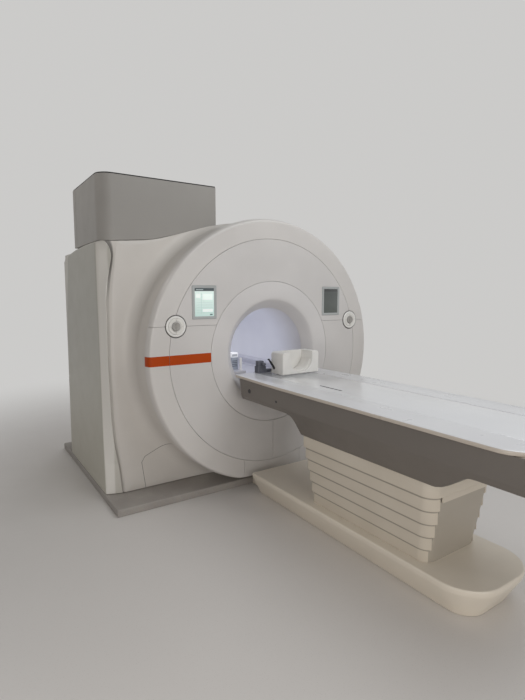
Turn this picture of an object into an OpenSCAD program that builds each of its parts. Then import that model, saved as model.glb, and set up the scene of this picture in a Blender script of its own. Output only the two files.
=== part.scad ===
// Whole-body MRI scanner with a lifting patient table.
// Origin on the floor below the isocentre; +Z up, the patient enters from -Y, +X is right seen from the front.

/* [Scanner] */
// Height of the bore axis above the floor
iso_height = 1090; // [1070:5:1110]
// Diameter of the patient bore
bore_diameter = 700; // [690:5:710]
// Length of the covers from front face to rear face
cover_length = 1860; // [1800:10:1900]
// Radius of the front face at its edge
face_radius = 1035; // [1020:5:1045]
// Width of the visible gap between neighbouring covers
seam = 2; // [1:0.5:4]
// Thickness of the moulded covers
cover_wall = 18; // [14:1:22]

/* [Controls and displays] */
// Distance of each control unit from the middle
control_x = 838; // [820:2:850]
// Diameter of a control unit
control_diameter = 160; // [150:2:164]
// Diameter of the turning knob
knob_diameter = 62; // [54:2:66]
// Travel of a key
key_travel = 2; // [1:0.5:2.5]
// Distance of each display from the middle
display_x = 611.5; // [606:0.5:616]
// Height of the display centres above the control units
display_rise = 169; // [164:1:173]

/* [Column] */
// Ceiling height that the column reaches
ceiling_height = 2408; // [2380:4:2600]
// Radius of the column's front left corner
column_corner = 100; // [60:5:140]

/* [Table] */
// Depth of the raised table top below the bore axis
table_drop = 149; // [145:1:155]
// Travel of the lift
lift_travel = 340; // [300:10:340]
// Travel of the sliding board
board_travel = 1750; // [1500:10:1760]
// Width of the sliding board
board_width = 410; // [400:2:414]
// Width of the shelf over the frame
shelf_width = 780; // [760:4:800]
// Width of the uppermost pedestal strip
pedestal_width = 540; // [530:2:550]
// Height of the foot plate
base_height = 178; // [170:2:184]

/* [Output] */
// Part to show

/* [Hidden] */
$fn = 48;
big_fn = 96;
seat = 0.3;

// Scanner planes, from front to rear.
face_y = -cover_length / 2;
face_back = face_y + cover_wall;
carrier_front = face_back + seat;
rim_depth = 70;
rim_back = face_y + rim_depth;
body_y = face_y + 341.5;
body_flange_y = body_y + 20;
body_back = body_flange_y + 15;
vessel_front = body_back + 3;
vessel_rear = -vessel_front;
rear_y = cover_length / 2;
rear_front = rear_y - cover_wall;

// Side wings.
wing_outer = 1250;
wing_wall = 62;
wing_inner = wing_outer - wing_wall;
wing_top = iso_height + 840;
column_floor = wing_top + 4;
cover_skin = 22;
skirt_low = wing_top - 70;
reach = 2 * wing_outer;

// Radii of the front face, measured from the bore axis.
bore_r = bore_diameter / 2;
rim_r = face_radius + 15;
ring_seam = face_radius - 144;
funnel_seam = bore_r + 212;
mouth_crease = bore_r + 67;
drum_r = rim_r - 5;
face_floor = 100;
foot_seam = 276;
ledge = 68;

// Hidden magnet parts.
vessel_r = 800;
vessel_bore = 450;
gradient_inner = 400;
tube_wall = 10;
body_coil_outer = gradient_inner - seat;
body_coil_inner = bore_r + tube_wall + seat;
tube_end = cover_length / 2 - 82;

// Plinth and lower edge of the covers.
plinth_height = 52;
plinth_half = wing_outer + 15;
plinth_front = face_y + 79;
cover_floor = 57;

// Covers between the wings: outline of the top, from the middle to the shoulder.
crown = iso_height + rim_r - 4;
shoulder_x = wing_outer - 82;
shoulder = [[0, crown], [200, crown - 12], [387, crown - 45], [539, crown - 88], [684, crown - 132],
            [870, column_floor + 23], [shoulder_x, column_floor]];
flank_x = wing_outer - 68;
flank = [[flank_x - 54, column_floor], [flank_x - 34, wing_top - 110], [flank_x, wing_top - 420],
         [flank_x - 8, 620], [flank_x - 22, 410], [flank_x - 65, cover_floor]];

// Column.
column_left = -wing_outer - 2;
column_right = column_left + 926;
column_rear_y = 180;
column_split = 100;
column_wall = 12;
gasket_height = 8;

// Service turrets of the vessel, inside the column.
turret_x = column_left + 692;
turret_front = body_y + 238.5;
turret_rear = turret_front + 290;
turret_top = wing_top - 30;

// Seam of the control units and the cover split.
split_height = iso_height + 233;
control_r = control_diameter / 2;
knob_r = knob_diameter / 2;
key_inner = knob_r + 7;
key_outer = key_inner + 20;
housing_front = face_y - 6;
key_front = housing_front - 2;
pocket_floor = housing_front + 10;
display_w = 197;
display_h = 243;
display_height = split_height + display_rise;
glass_w = 155;
glass_h = 205;
display_front = face_y - 3;
glass_front = face_y - 1;
stripe_low = iso_height - 41;
stripe_high = iso_height + 29;

// Table levels.
table_height = iso_height - table_drop;
board_thick = 40;
board_low = table_height - board_thick + 0.2;
rail_top = board_low - seat;
channel_floor = rail_top - 6;
channel_half = board_width / 2 + 2;
rail_x = 150;
table_head = face_y - 15;
table_foot = -3150;
board_foot = table_foot + 100;
shelf_low = table_height - 23;
shelf_body_low = channel_floor - 15;

// Pedestal strips: each lower one is narrower and slides inside the one above it.
frame_floor = table_height - 316;
strip_count = 6;
strip_pitch = (frame_floor - base_height) / strip_count;
strip_height = strip_pitch + 17.5;
strip_step = 10;
strip_wall = 8;
ped_half = pedestal_width / 2;
ped_head = -1635;
ped_foot = -2650;
ped_corner = 75;
ped_head_corner = 40;
end_open = 195;

// Frame under the shelf.
frame_half = 370;
frame_crease = table_height - 146;
frame_head = face_y - 90;
frame_wall = 10;
panel_top = shelf_body_low - frame_wall - lift_travel - 6;

// Lift tube and ram.
lift_y = -2150;
tube_half = 100;
tube_skin = 10;
ram_half = tube_half - tube_skin - 0.5;
tube_top = frame_floor - 125;
pit_floor = 25;
ram_low = tube_top - 105;

// Profile drawn as (radius, y), turned about the bore axis.
module about_bore(fine = big_fn) {
  translate([0, 0, iso_height]) rotate([-90, 0, 0]) rotate_extrude($fn = fine) children();
}

// Outline drawn as (x, z), given depth from y0 to y1.
module along_y(y0, y1) {
  translate([0, y1, 0]) rotate([90, 0, 0]) linear_extrude(y1 - y0) children();
}

// Outline drawn as (y, z), given width from x0 to x1.
module along_x(x0, x1) {
  translate([x0, 0, 0]) rotate([90, 0, 90]) linear_extrude(x1 - x0) children();
}

// Plain block between two corners.
module block(low, high) {
  translate(low) cube(high - low);
}

// Shape and its mirror image in x.
module both_sides() {
  children();
  mirror([1, 0, 0]) children();
}

// Round bar about an axis parallel to the bore.
module bar_y(x, z, r, y0, y1) {
  translate([x, y1, z]) rotate([90, 0, 0]) cylinder(r = r, h = y1 - y0);
}

function mirrored(points) = concat(points, [for (i = [len(points) - 1:-1:0]) [-points[i][0], points[i][1]]]);
function raised(points, d) = [for (p = points) [p[0], p[1] + d]];

// Front outline of the covers between the wings.
module cover_outline() {
  polygon(mirrored(concat([for (i = [0:5]) shoulder[i]], flank)));
}

// Space above the shoulders, for cutting the column.
module above_shoulders(gap) {
  polygon(concat([[-reach, 2 * ceiling_height], [-reach, column_floor + gap]],
                 [for (i = [6:-1:1]) [-shoulder[i][0], shoulder[i][1] + gap]],
                 [for (i = [0:6]) [shoulder[i][0], shoulder[i][1] + gap]],
                 [[reach, column_floor + gap], [reach, 2 * ceiling_height]]));
}

module plinth() {
  color("#8b8580") difference() {
    block([-plinth_half, plinth_front, 0], [plinth_half, rear_y + 20, plinth_height]);
    // toe bevels along the front and the sides
    translate([0, plinth_front, plinth_height]) rotate([45, 0, 0]) cube([3 * plinth_half, 10, 10], center = true);
    both_sides() translate([plinth_half, 0, plinth_height]) rotate([0, 45, 0])
      cube([10, 3 * cover_length, 10], center = true);
  }
}

module magnet_vessel() {
  color("#c9c7c2") difference() {
    union() {
      about_bore() polygon([
        [vessel_bore, vessel_front], [vessel_r - 30, vessel_front], [vessel_r - 8, vessel_front + 10],
        [vessel_r, vessel_front + 32], [vessel_r, vessel_rear - 32], [vessel_r - 8, vessel_rear - 10],
        [vessel_r - 30, vessel_rear], [vessel_bore, vessel_rear]]);
      // feet
      for (y = [-380, 380]) both_sides()
        block([380, y - 90, plinth_height + seat], [560, y + 90, iso_height - 500]);
      // service turrets
      for (y = [turret_front, turret_rear]) translate([turret_x, y, iso_height + 400])
        cylinder(r = 105, h = turret_top - iso_height - 400);
    }
    about_bore() translate([0, vessel_front - 50]) square([vessel_bore, 2 * vessel_rear + 100]);
  }
}

module gradient_coil() {
  color("#4a4f58") about_bore() translate([gradient_inner, -tube_end + 190])
    square([vessel_bore - seat - gradient_inner, 2 * tube_end - 380]);
}

module body_coil() {
  color("#b7a56a") about_bore() translate([body_coil_inner, -tube_end + 150])
    square([body_coil_outer - body_coil_inner, 2 * tube_end - 300]);
}

module bore_tube() {
  color("#e8e8f0") about_bore() translate([bore_r, -tube_end + seat])
    square([tube_wall, 2 * tube_end - 2 * seat]);
}

// Bed that carries the board through the bore, hollow below its two rails.
module bore_bed() {
  color("#e4e2e2") along_y(-tube_end + 2, tube_end - 2) difference() {
    intersection() {
      translate([0, iso_height]) circle(r = bore_r - seat, $fn = big_fn);
      translate([-bore_r, 0]) square([2 * bore_r, table_height - seat]);
    }
    difference() {
      translate([-channel_half, channel_floor]) square([2 * channel_half, board_thick + 20]);
      for (x = [-rail_x, rail_x]) translate([x - 10, channel_floor - 1]) square([20, rail_top - channel_floor + 1]);
    }
    for (x = [-135, 5]) intersection() {
      translate([0, iso_height]) circle(r = bore_r - 14, $fn = big_fn);
      translate([x, 0]) square([130, channel_floor - 12]);
    }
  }
}

// Housing for the table's couplings, standing on the bed's left shoulder.
module dock_box() {
  y0 = face_y + 195;
  color("#cfd4de") difference() {
    union() {
      block([-channel_half - 72, y0, table_height], [-channel_half - 4, y0 + 80, table_height + 136]);
      block([-channel_half - 22, y0 + 79, table_height], [-channel_half - 6, y0 + 135, table_height + 60]);
    }
    block([-channel_half - 66, y0 - 1, table_height + 100], [-channel_half - 10, y0 + 2, table_height + 128]);
  }
}

// Edge ring of the face, bevelled at the front, with a ledge that lies on the carrier.
module rim_section() {
  polygon([
    [ring_seam + seam / 2, face_y], [face_radius - 16, face_y], [face_radius - 6, face_y + 1],
    [face_radius, face_y + 5], [rim_r - 6, face_y + 22], [rim_r - 1, face_y + 36],
    [rim_r, face_y + 47], [rim_r - 2, rim_back - 6], [rim_r - 6, rim_back],
    [rim_r - ledge, rim_back], [rim_r - ledge, face_back], [ring_seam + seam / 2, face_back]]);
}

// Blocks that hold back the part of the face on one side of its seams.
module upper_half() { block([-reach, face_y - 50, split_height + seam / 2], [reach, rim_back + 50, 2 * iso_height + 400]); }
module lower_half() { block([-reach, face_y - 50, face_floor], [reach, rim_back + 50, split_height - seam / 2]); }

module control_cuts() {
  both_sides() bar_y(control_x, split_height, control_r + seam, face_y - 20, rim_back + 20);
}

module rim_upper() {
  color("#dcd8d2") difference() {
    intersection() { about_bore(160) rim_section(); upper_half(); }
    control_cuts();
  }
}

module rim_side() {
  difference() {
    intersection() {
      about_bore() rim_section();
      lower_half();
      block([-reach, face_y - 50, 0], [-foot_seam - seam / 2, rim_back + 50, 2 * iso_height]);
    }
    control_cuts();
  }
}

module rim_left() { color("#dcd8d2") rim_side(); }
module rim_right() { color("#dcd8d2") mirror([1, 0, 0]) rim_side(); }

module rim_bottom() {
  color("#dcd8d2") intersection() {
    about_bore(160) rim_section();
    block([-foot_seam + seam / 2, face_y - 50, face_floor], [foot_seam - seam / 2, rim_back + 50, iso_height - 500]);
  }
}

module cover_plate() {
  about_bore() translate([funnel_seam + seam / 2, face_y])
    square([ring_seam - funnel_seam - seam, cover_wall]);
}

module cover_upper() {
  color("#d9d6d3") difference() {
    intersection() { cover_plate(); upper_half(); }
    control_cuts();
    both_sides() block(
      [display_x - display_w / 2 - 0.5, face_y - 5, display_height - display_h / 2 - 0.5],
      [display_x + display_w / 2 + 0.5, face_back + 5, display_height + display_h / 2 + 0.5]);
  }
}

module cover_lower() {
  difference() {
    intersection() {
      cover_plate();
      lower_half();
      block([-reach, face_y - 50, 0], [-seam / 2, rim_back + 50, 2 * iso_height]);
    }
    control_cuts();
  }
}

module cover_left() { color("#d9d6d3") cover_lower(); }
module cover_right() { color("#d9d6d3") mirror([1, 0, 0]) cover_lower(); }

// Ring round the bore mouth: slightly domed, then rolling into the bore.
module front_funnel() {
  color("#dedcdb") about_bore() polygon([
    [funnel_seam - seam / 2, face_y], [funnel_seam - 30, face_y - 2.6], [funnel_seam - 70, face_y - 4],
    [funnel_seam - 110, face_y - 3.4], [mouth_crease + 14, face_y - 1], [mouth_crease, face_y + 3],
    [mouth_crease - 9, face_y + 10], [mouth_crease - 22, face_y + 24], [mouth_crease - 38, face_y + 44],
    [mouth_crease - 54, face_y + 64], [bore_r + 4, face_y + 76], [bore_r, -tube_end],
    [bore_r + tube_wall + 4, -tube_end], [mouth_crease - 30, face_y + 60], [mouth_crease + 4, face_back + 8],
    [mouth_crease + 14, face_back], [funnel_seam - seam / 2, face_back]]);
}

// Hidden ring that the front covers are fixed to, standing on the vessel's front.
module cover_carrier() {
  color("#9a9c9e") difference() {
    about_bore() polygon([
      [mouth_crease + 20, carrier_front], [rim_r - ledge - 2, carrier_front],
      [rim_r - ledge - 2, carrier_front + 12], [vessel_r - 10, carrier_front + 12],
      [vessel_r - 10, vessel_front - seat], [vessel_r - 40, vessel_front - seat],
      [vessel_r - 40, carrier_front + 12], [vessel_bore + 50, carrier_front + 12],
      [vessel_bore + 50, vessel_front - seat], [vessel_bore + 20, vessel_front - seat],
      [vessel_bore + 20, carrier_front + 12], [mouth_crease + 20, carrier_front + 12]]);
    block([-reach, face_y - 50, 0], [reach, 0, face_floor + 8]);
  }
}

// Thin film over the cover and the rim, following the rim's bevel.
module stripe_band() {
  color("#c8471c") difference() {
    intersection() {
      about_bore() polygon([
        [funnel_seam + seam / 2, face_y - seat], [face_radius - 16, face_y - seat],
        [face_radius - 6, face_y + 1 - seat], [face_radius + 0.2, face_y + 5 - seat],
        [rim_r - 6 + 0.3, face_y + 22 - 0.2], [rim_r - 1 + 0.3, face_y + 36],
        [rim_r + 0.3, face_y + 47], [rim_r - 2 + 0.3, rim_back - 6],
        [rim_r - 2 + 1.1, rim_back - 6], [rim_r + 1.1, face_y + 47], [rim_r + 0.1, face_y + 35.8],
        [rim_r - 5 + 0.1, face_y + 21.4], [face_radius + 0.9, face_y + 4.2],
        [face_radius - 5.6, face_y + 0.1 - seat], [face_radius - 16, face_y - 0.8 - seat],
        [funnel_seam + seam / 2, face_y - 0.8 - seat]]);
      block([-reach, face_y - 50, stripe_low], [-bore_r, rim_back + 50, stripe_high]);
    }
    // the film is cut at the seam
    about_bore() translate([ring_seam - seam / 2, face_y - 10]) square([seam, 12]);
  }
}

module display_frames() {
  color("#8f9496") both_sides() difference() {
    along_y(display_front, face_back) translate([display_x - display_w / 2, display_height - display_h / 2])
      square([display_w, display_h]);
    along_y(display_front - 1, glass_front + 8) translate([display_x - glass_w / 2 - 0.5,
      display_height - glass_h / 2 - 0.5]) square([glass_w + 1, glass_h + 1]);
    along_y(display_front - 1, display_front + 1) difference() {
      translate([display_x - display_w / 2 - 5, display_height - display_h / 2 - 5])
        square([display_w + 10, display_h + 10]);
      translate([display_x - display_w / 2 + 2, display_height - display_h / 2 + 2])
        square([display_w - 4, display_h - 4]);
    }
  }
}

module glass_pane() {
  along_y(glass_front, glass_front + 8 - seat) translate([-glass_w / 2, -glass_h / 2]) square([glass_w, glass_h]);
}

module display_left() { color("#bfe3da") translate([-display_x, 0, display_height]) glass_pane(); }
module display_right() { color("#5d6b66") translate([display_x, 0, display_height]) glass_pane(); }

// Round unit with a ring-shaped pocket for four keys and a recess for the knob.
module control_housing() {
  difference() {
    translate([0, face_back, 0]) rotate([90, 0, 0]) rotate_extrude() polygon([
      [0, 0], [control_r, 0], [control_r, face_back - face_y], [control_r - 1, face_back - housing_front - 3],
      [control_r - 5, face_back - housing_front], [0, face_back - housing_front]]);
    difference() {
      bar_y(0, 0, key_outer + seat, housing_front - 1, pocket_floor);
      bar_y(0, 0, key_inner - seat, housing_front - 2, pocket_floor + 1);
      for (a = [0, 90]) rotate([0, a, 0]) block([-100, pocket_floor - 20, -1.5], [100, pocket_floor, 1.5]);
    }
    bar_y(0, 0, knob_r + 1, housing_front - 1, housing_front + 6);
    bar_y(0, 0, 8.3, housing_front, housing_front + 16);
  }
}

module control_housings() {
  color("#eceae6") both_sides() translate([control_x, 0, split_height]) control_housing();
}

module knob() {
  translate([0, housing_front + 5.7, 0]) rotate([90, 0, 0]) rotate_extrude() polygon([
    [0, 0], [knob_r, 0], [knob_r, 11], [knob_r - 3, 14], [knob_r - 9, 13], [knob_r - 14, 11], [0, 11]]);
  bar_y(0, 0, 8, housing_front + 5, housing_front + 15.7);
}

module knob_left() { color("#a9a7a4") translate([-control_x, 0, split_height]) knob(); }
module knob_right() { color("#a9a7a4") translate([control_x, 0, split_height]) knob(); }

// Quarter-ring key between the pocket's ribs.
module key(turn) {
  rotate([0, turn, 0]) intersection() {
    difference() {
      bar_y(0, 0, key_outer, key_front, pocket_floor - key_travel - 1);
      bar_y(0, 0, key_inner, key_front - 1, pocket_floor);
    }
    block([1.8, -2000, 1.8], [100, 0, 100]);
  }
}

module key_left_a() { color("#f2f1ee") translate([-control_x, 0, split_height]) key(0); }
module key_left_b() { color("#f2f1ee") translate([-control_x, 0, split_height]) key(90); }
module key_left_c() { color("#f2f1ee") translate([-control_x, 0, split_height]) key(180); }
module key_left_d() { color("#f2f1ee") translate([-control_x, 0, split_height]) key(270); }
module key_right_a() { color("#f2f1ee") translate([control_x, 0, split_height]) key(0); }
module key_right_b() { color("#f2f1ee") translate([control_x, 0, split_height]) key(90); }
module key_right_c() { color("#f2f1ee") translate([control_x, 0, split_height]) key(180); }
module key_right_d() { color("#f2f1ee") translate([control_x, 0, split_height]) key(270); }

// Front plate with the drum that flares out of it behind the rim, and a set-back flange behind the slots.
module body_front() {
  difference() {
    union() {
      along_y(body_y, body_flange_y) cover_outline();
      intersection() {
        about_bore() polygon(concat(
          [[drum_r - 45, body_y + 5], [drum_r - 45, rim_back + seat], [drum_r, rim_back + seat],
           [drum_r - 2, rim_back + 60], [drum_r - 2, body_y - 90]],
          [for (a = [15:15:90]) [drum_r - 2 + 90 * (1 - cos(a)), body_y - 90 * (1 - sin(a))]],
          [[drum_r + 88, body_y + 5]]));
        along_y(rim_back - 10, body_y + 20) cover_outline();
        block([-reach, face_y - 50, face_floor - 20], [reach, 0, ceiling_height]);
      }
      along_y(body_flange_y, body_back) polygon(concat(
        [for (i = [6:-1:1]) [-shoulder[i][0], shoulder[i][1] - 1]], [for (i = [0:6]) [shoulder[i][0], shoulder[i][1] - 1]],
        [[wing_inner - seat, wing_top - 50], [wing_inner - seat, cover_floor],
         [-wing_inner + seat, cover_floor], [-wing_inner + seat, wing_top - 50]]));
    }
    about_bore() translate([0, rim_back]) square([drum_r - 45, 400]);
  }
}

// Region of the front that belongs to the removable lower panels.
module panel_region(gap) {
  x = flank_x - 188;
  polygon([[x - 28 - gap, 0], [x - 28 - gap, 58], [x - gap, 264], [x - 26 - gap, 307 - gap], [x - 144, 358 - gap],
           [x - 394, 466 - gap], [300 + gap, 466 - gap], [300 + gap, 0]]);
}

module body_cover() {
  color("#d8d4ce") difference() {
    body_front();
    both_sides() along_y(rim_back - 10, body_flange_y + 0.01) panel_region(-seam / 2);
  }
}

module access_panels() {
  color("#d6d2cc") intersection() {
    body_front();
    both_sides() along_y(rim_back - 10, body_flange_y - seat) panel_region(seam / 2);
  }
}

// Side cover with a rounded front corner and a lip that follows the slot.
module wing() {
  lip = [[wing_outer - 103, cover_floor], [wing_outer - 101, 90], [wing_outer - 85, 250], [wing_outer - 54, 450],
         [wing_outer - 40, 630], [wing_outer - 30, 1000], [wing_outer - 30, wing_top - 420],
         [wing_outer - 65, wing_top - 110], [wing_outer - 72, wing_top]];
  wing_corner = 60;
  intersection() {
    union() {
      along_x(wing_inner, wing_outer) polygon([
        [body_flange_y + 0.5, cover_floor], [rear_y - 4, cover_floor], [rear_y - 4, wing_top - 110],
        [rear_y - 60, wing_top - 68], [rear_y - 400, wing_top - 33], [rear_y - 770, wing_top - 4],
        [body_y + 388, wing_top], [body_flange_y + 0.5, wing_top]]);
      along_y(body_y, body_flange_y - seat) polygon(concat(lip, [[wing_outer, wing_top], [wing_outer, cover_floor]]));
      along_y(body_flange_y - 1, body_flange_y + 1) polygon(concat(
        [for (p = lip) [max(p[0], wing_inner + 8), p[1]]], [[wing_outer, wing_top], [wing_outer, cover_floor]]));
    }
    linear_extrude(ceiling_height) union() {
      translate([0, body_y + wing_corner]) square([wing_outer, cover_length + 100]);
      translate([0, body_y]) square([wing_outer - wing_corner, cover_length]);
      translate([wing_outer - wing_corner, body_y + wing_corner]) circle(r = wing_corner);
    }
  }
}

module wing_right() { color("#d3cfc9") wing(); }
module wing_left() { color("#d3cfc9") mirror([1, 0, 0]) wing(); }

// Cover over the vessel between the wings, with the passage for the turrets.
module top_cover() {
  color("#d3cfc9") difference() {
    along_y(body_back + seat, rear_front - seat) polygon(concat(
      [[-wing_inner + seat, skirt_low], [-wing_inner + seat, wing_top]],
      [for (i = [6:-1:1]) [-shoulder[i][0], shoulder[i][1] - seat]],
      [for (i = [0:6]) [shoulder[i][0], shoulder[i][1] - seat]],
      [[wing_inner - seat, wing_top], [wing_inner - seat, skirt_low], [wing_inner - 28, skirt_low],
       [wing_inner - 28, column_floor - cover_skin]],
      [for (i = [5:-1:1]) [shoulder[i][0], shoulder[i][1] - cover_skin]],
      [for (i = [0:5]) [-shoulder[i][0], shoulder[i][1] - cover_skin]],
      [[-wing_inner + 28, column_floor - cover_skin], [-wing_inner + 28, skirt_low]]));
    block([turret_x - 140, turret_front - 150, skirt_low - 160], [turret_x + 140, turret_rear + 140, ceiling_height]);
  }
}

// Plain rear cover in one piece with its funnel.
module rear_cover() {
  color("#d3cfc9") difference() {
    union() {
      along_y(rear_front, rear_y) polygon(concat(
        [for (i = [6:-1:1]) [-shoulder[i][0], shoulder[i][1] - 2]], [for (i = [0:6]) [shoulder[i][0], shoulder[i][1] - 2]],
        [[wing_inner - seat, skirt_low], [wing_inner - seat, cover_floor],
         [-wing_inner + seat, cover_floor], [-wing_inner + seat, skirt_low]]));
      about_bore() polygon([[bore_r, tube_end], [bore_r + tube_wall + 4, tube_end],
        [mouth_crease + 14, rear_front + 2], [mouth_crease - 6, rear_y], [bore_r, rear_y]]);
    }
    about_bore() polygon([[0, tube_end - 1], [bore_r, tube_end - 1], [bore_r, tube_end + 6],
      [mouth_crease - 38, rear_y - 38], [mouth_crease - 18, rear_y - 16], [mouth_crease - 4, rear_y - 4],
      [mouth_crease + 4, rear_y + 1], [0, rear_y + 1]]);
  }
}

module column_plan(inset) {
  r = column_corner - inset;
  x0 = column_left + inset;
  x1 = column_right - inset;
  y0 = body_y + inset;
  y1 = column_rear_y - inset;
  translate([x0 + r, y0]) square([x1 - x0 - r, y1 - y0]);
  translate([x0, y0 + r]) square([x1 - x0, y1 - y0 - r]);
  translate([x0 + r, y0 + r]) circle(r = r);
}

module column_shell() {
  intersection() {
    translate([0, 0, wing_top - 30]) linear_extrude(ceiling_height - gasket_height - seat - wing_top + 30) difference() {
      column_plan(0);
      column_plan(column_wall);
    }
    along_y(body_y - 10, column_rear_y + 10) above_shoulders(0);
  }
}

module column_front() {
  color("#c9c5c0") intersection() {
    column_shell();
    block([-reach, -cover_length, 0], [reach, column_split - seam / 2, 2 * ceiling_height]);
  }
}

module column_rear() {
  color("#c9c5c0") union() {
    intersection() {
      column_shell();
      block([-reach, column_split + seam / 2, 0], [reach, cover_length, 2 * ceiling_height]);
    }
    // strip behind the joint
    block([column_left + column_wall + seat, column_split - 30, column_floor + 66],
          [column_left + column_wall + 6, column_split + 30, ceiling_height - 40]);
    block([column_left + column_wall - 0.5, column_split + 4, column_floor + 66],
          [column_left + column_wall + 2, column_split + 30, ceiling_height - 40]);
  }
}

module column_gasket() {
  color("#2f2e2d") translate([0, 0, ceiling_height - gasket_height]) linear_extrude(gasket_height) difference() {
    column_plan(4);
    column_plan(column_wall + 4);
  }
}

module cold_head() {
  color("#b9bdc2") translate([turret_x, turret_front, turret_top + seat]) {
    cylinder(r = 95, h = 18);
    cylinder(r = 62, h = 210);
    translate([0, 0, 210]) cylinder(r = 75, h = 90);
    translate([-60, -45, 225]) cube([160, 90, 70]);
    for (a = [0:60:300]) rotate([0, 0, a]) translate([80, 0, 0]) cylinder(r = 7, h = 26, $fn = 24);
  }
}

module quench_pipe() {
  color("#a7abaf") translate([turret_x, turret_rear, turret_top + seat]) difference() {
    union() {
      cylinder(r = 95, h = 16);
      cylinder(r = 72, h = ceiling_height - turret_top - 30);
      for (a = [0:60:300]) rotate([0, 0, a]) translate([84, 0, 0]) cylinder(r = 6, h = 24, $fn = 24);
    }
    translate([0, 0, 6]) cylinder(r = 68, h = ceiling_height);
  }
}

base_half = 280;
base_slope = 80;
base_foot = -2900;
base_round = 200;
base_head = face_y - 120;

// Foot plate: sides lean in towards the floor, large round foot corners, duct towards the plinth.
module base_plate() {
  lip = 30;
  color("#d9d0bf") difference() {
    union() {
      along_y(base_foot + base_round, base_head) polygon([
        [-base_half, base_height], [-base_half, base_height - lip], [-base_half + base_slope, 0],
        [base_half - base_slope, 0], [base_half, base_height - lip], [base_half, base_height]]);
      along_x(-base_half + base_round, base_half - base_round) polygon([
        [base_foot, base_height], [base_foot, base_height - lip], [base_foot + base_slope, 0],
        [base_foot + 2 * base_round, 0], [base_foot + 2 * base_round, base_height]]);
      both_sides() translate([base_half - base_round, base_foot + base_round, 0]) {
        cylinder(r1 = base_round - base_slope, r2 = base_round, h = base_height - lip);
        translate([0, 0, base_height - lip]) cylinder(r = base_round, h = lip);
      }
      block([-150, base_head - 20, 0], [150, plinth_front - seat, face_floor - 35]);
    }
    // pit that the ram sinks into
    block([-tube_half + tube_skin, lift_y - tube_half + tube_skin, pit_floor],
          [tube_half - tube_skin, lift_y + tube_half - tube_skin, base_height + 1]);
  }
}

module lift_tube() {
  z0 = base_height + seat;
  color("#8a8f94") difference() {
    union() {
      block([-tube_half, lift_y - tube_half, z0], [tube_half, lift_y + tube_half, tube_top]);
      block([-tube_half - 30, lift_y - tube_half - 30, z0], [tube_half + 30, lift_y + tube_half + 30, z0 + 12]);
    }
    block([-tube_half + tube_skin, lift_y - tube_half + tube_skin, 0],
          [tube_half - tube_skin, lift_y + tube_half - tube_skin, tube_top + 1]);
    for (x = [-115, 115], y = [-115, 115]) translate([x, lift_y + y, z0 - 1]) cylinder(r = 5.5, h = 20, $fn = 24);
  }
}

module lift_ram() {
  top = shelf_body_low - frame_wall - seat - seat;
  color("#b4b8bb") difference() {
    union() {
      block([-ram_half, lift_y - ram_half, ram_low], [ram_half, lift_y + ram_half, top]);
      block([-130, lift_y - 130, top - 12], [130, lift_y + 130, top]);
    }
    block([-ram_half + 10, lift_y - ram_half + 10, ram_low - 1], [ram_half - 10, lift_y + ram_half - 10, top - 12]);
  }
}

// Plan of one pedestal strip: small round head corners, larger round foot corners.
module strip_plan(half, head, foot, rh, rf) {
  translate([-half, foot + rf]) square([2 * half, head - rh - foot - rf]);
  translate([-half + rh, head - rh - 1]) square([2 * (half - rh), rh + 1]);
  translate([-half + rf, foot]) square([2 * (half - rf), rf + 1]);
  for (s = [-1, 1]) {
    translate([s * (half - rh), head - rh]) circle(r = rh);
    translate([s * (half - rf), foot + rf]) circle(r = rf);
  }
}

module strip_ring(k, out = 0) {
  d = strip_step * (k - 1);
  difference() {
    strip_plan(ped_half - d + out, ped_head - d + out, ped_foot + d - out, ped_head_corner + out, ped_corner + out);
    strip_plan(ped_half - d - strip_wall, ped_head - d - strip_wall, ped_foot + d + strip_wall,
               ped_head_corner - strip_wall, ped_corner - strip_wall);
  }
}

// Strip k of the pedestal, open between its foot corners for the end panel. A slide lip along its
// top edge runs against the inside of the strip above.
module strip(k) {
  low = frame_floor - strip_pitch * k;
  lift = k == strip_count ? seat : 0;
  color("#dcd4c4") difference() {
    union() {
      translate([0, 0, low + lift]) linear_extrude(strip_height - lift) strip_ring(k);
      translate([0, 0, low + strip_height - 9]) linear_extrude(9) strip_ring(k, strip_step - strip_wall - seat);
    }
    block([-end_open, ped_foot - 10, low - 1], [end_open, ped_foot + 140, low + 200]);
  }
}

// The uppermost strip goes right round and has an apron in front of the end panel.
module lamella_1() {
  color("#dcd4c4") {
    translate([0, 0, frame_floor - strip_pitch]) linear_extrude(strip_pitch - seat) strip_ring(1);
    block([-end_open + 5, ped_foot, panel_top - 3], [end_open - 5, ped_foot + strip_wall, frame_floor - 1]);
  }
}
module lamella_2() { strip(2); }
module lamella_3() { strip(3); }
module lamella_4() { strip(4); }
module lamella_5() { strip(5); }
module lamella_6() { strip(6); }

// Plain upright panel in the opening of the strips.
module end_panel() {
  color("#d8cfbf") block([-end_open + 5, ped_foot + strip_wall + 2, base_height + seat],
                         [end_open - 5, ped_foot + strip_wall + 14, panel_top]);
}

function frame_section(d) = [[-frame_half + d, shelf_low - seat], [-frame_half + d, frame_crease - d * 0.2],
  [-ped_half + d * 0.75, frame_floor], [ped_half - d * 0.75, frame_floor],
  [frame_half - d, frame_crease - d * 0.2], [frame_half - d, shelf_low - seat]];

// Underside of the frame in the side view: towards the head from the strips, and under the foot.
head_curve = [[63, 173], [39, 177], [21, 185], [9, 199], [2, 219], [-1, 241]];
foot_curve = [[450, 301], [360, 241], [300, 196], [270, 181], [40, 181], [15, 166], [10, 141]];

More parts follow.
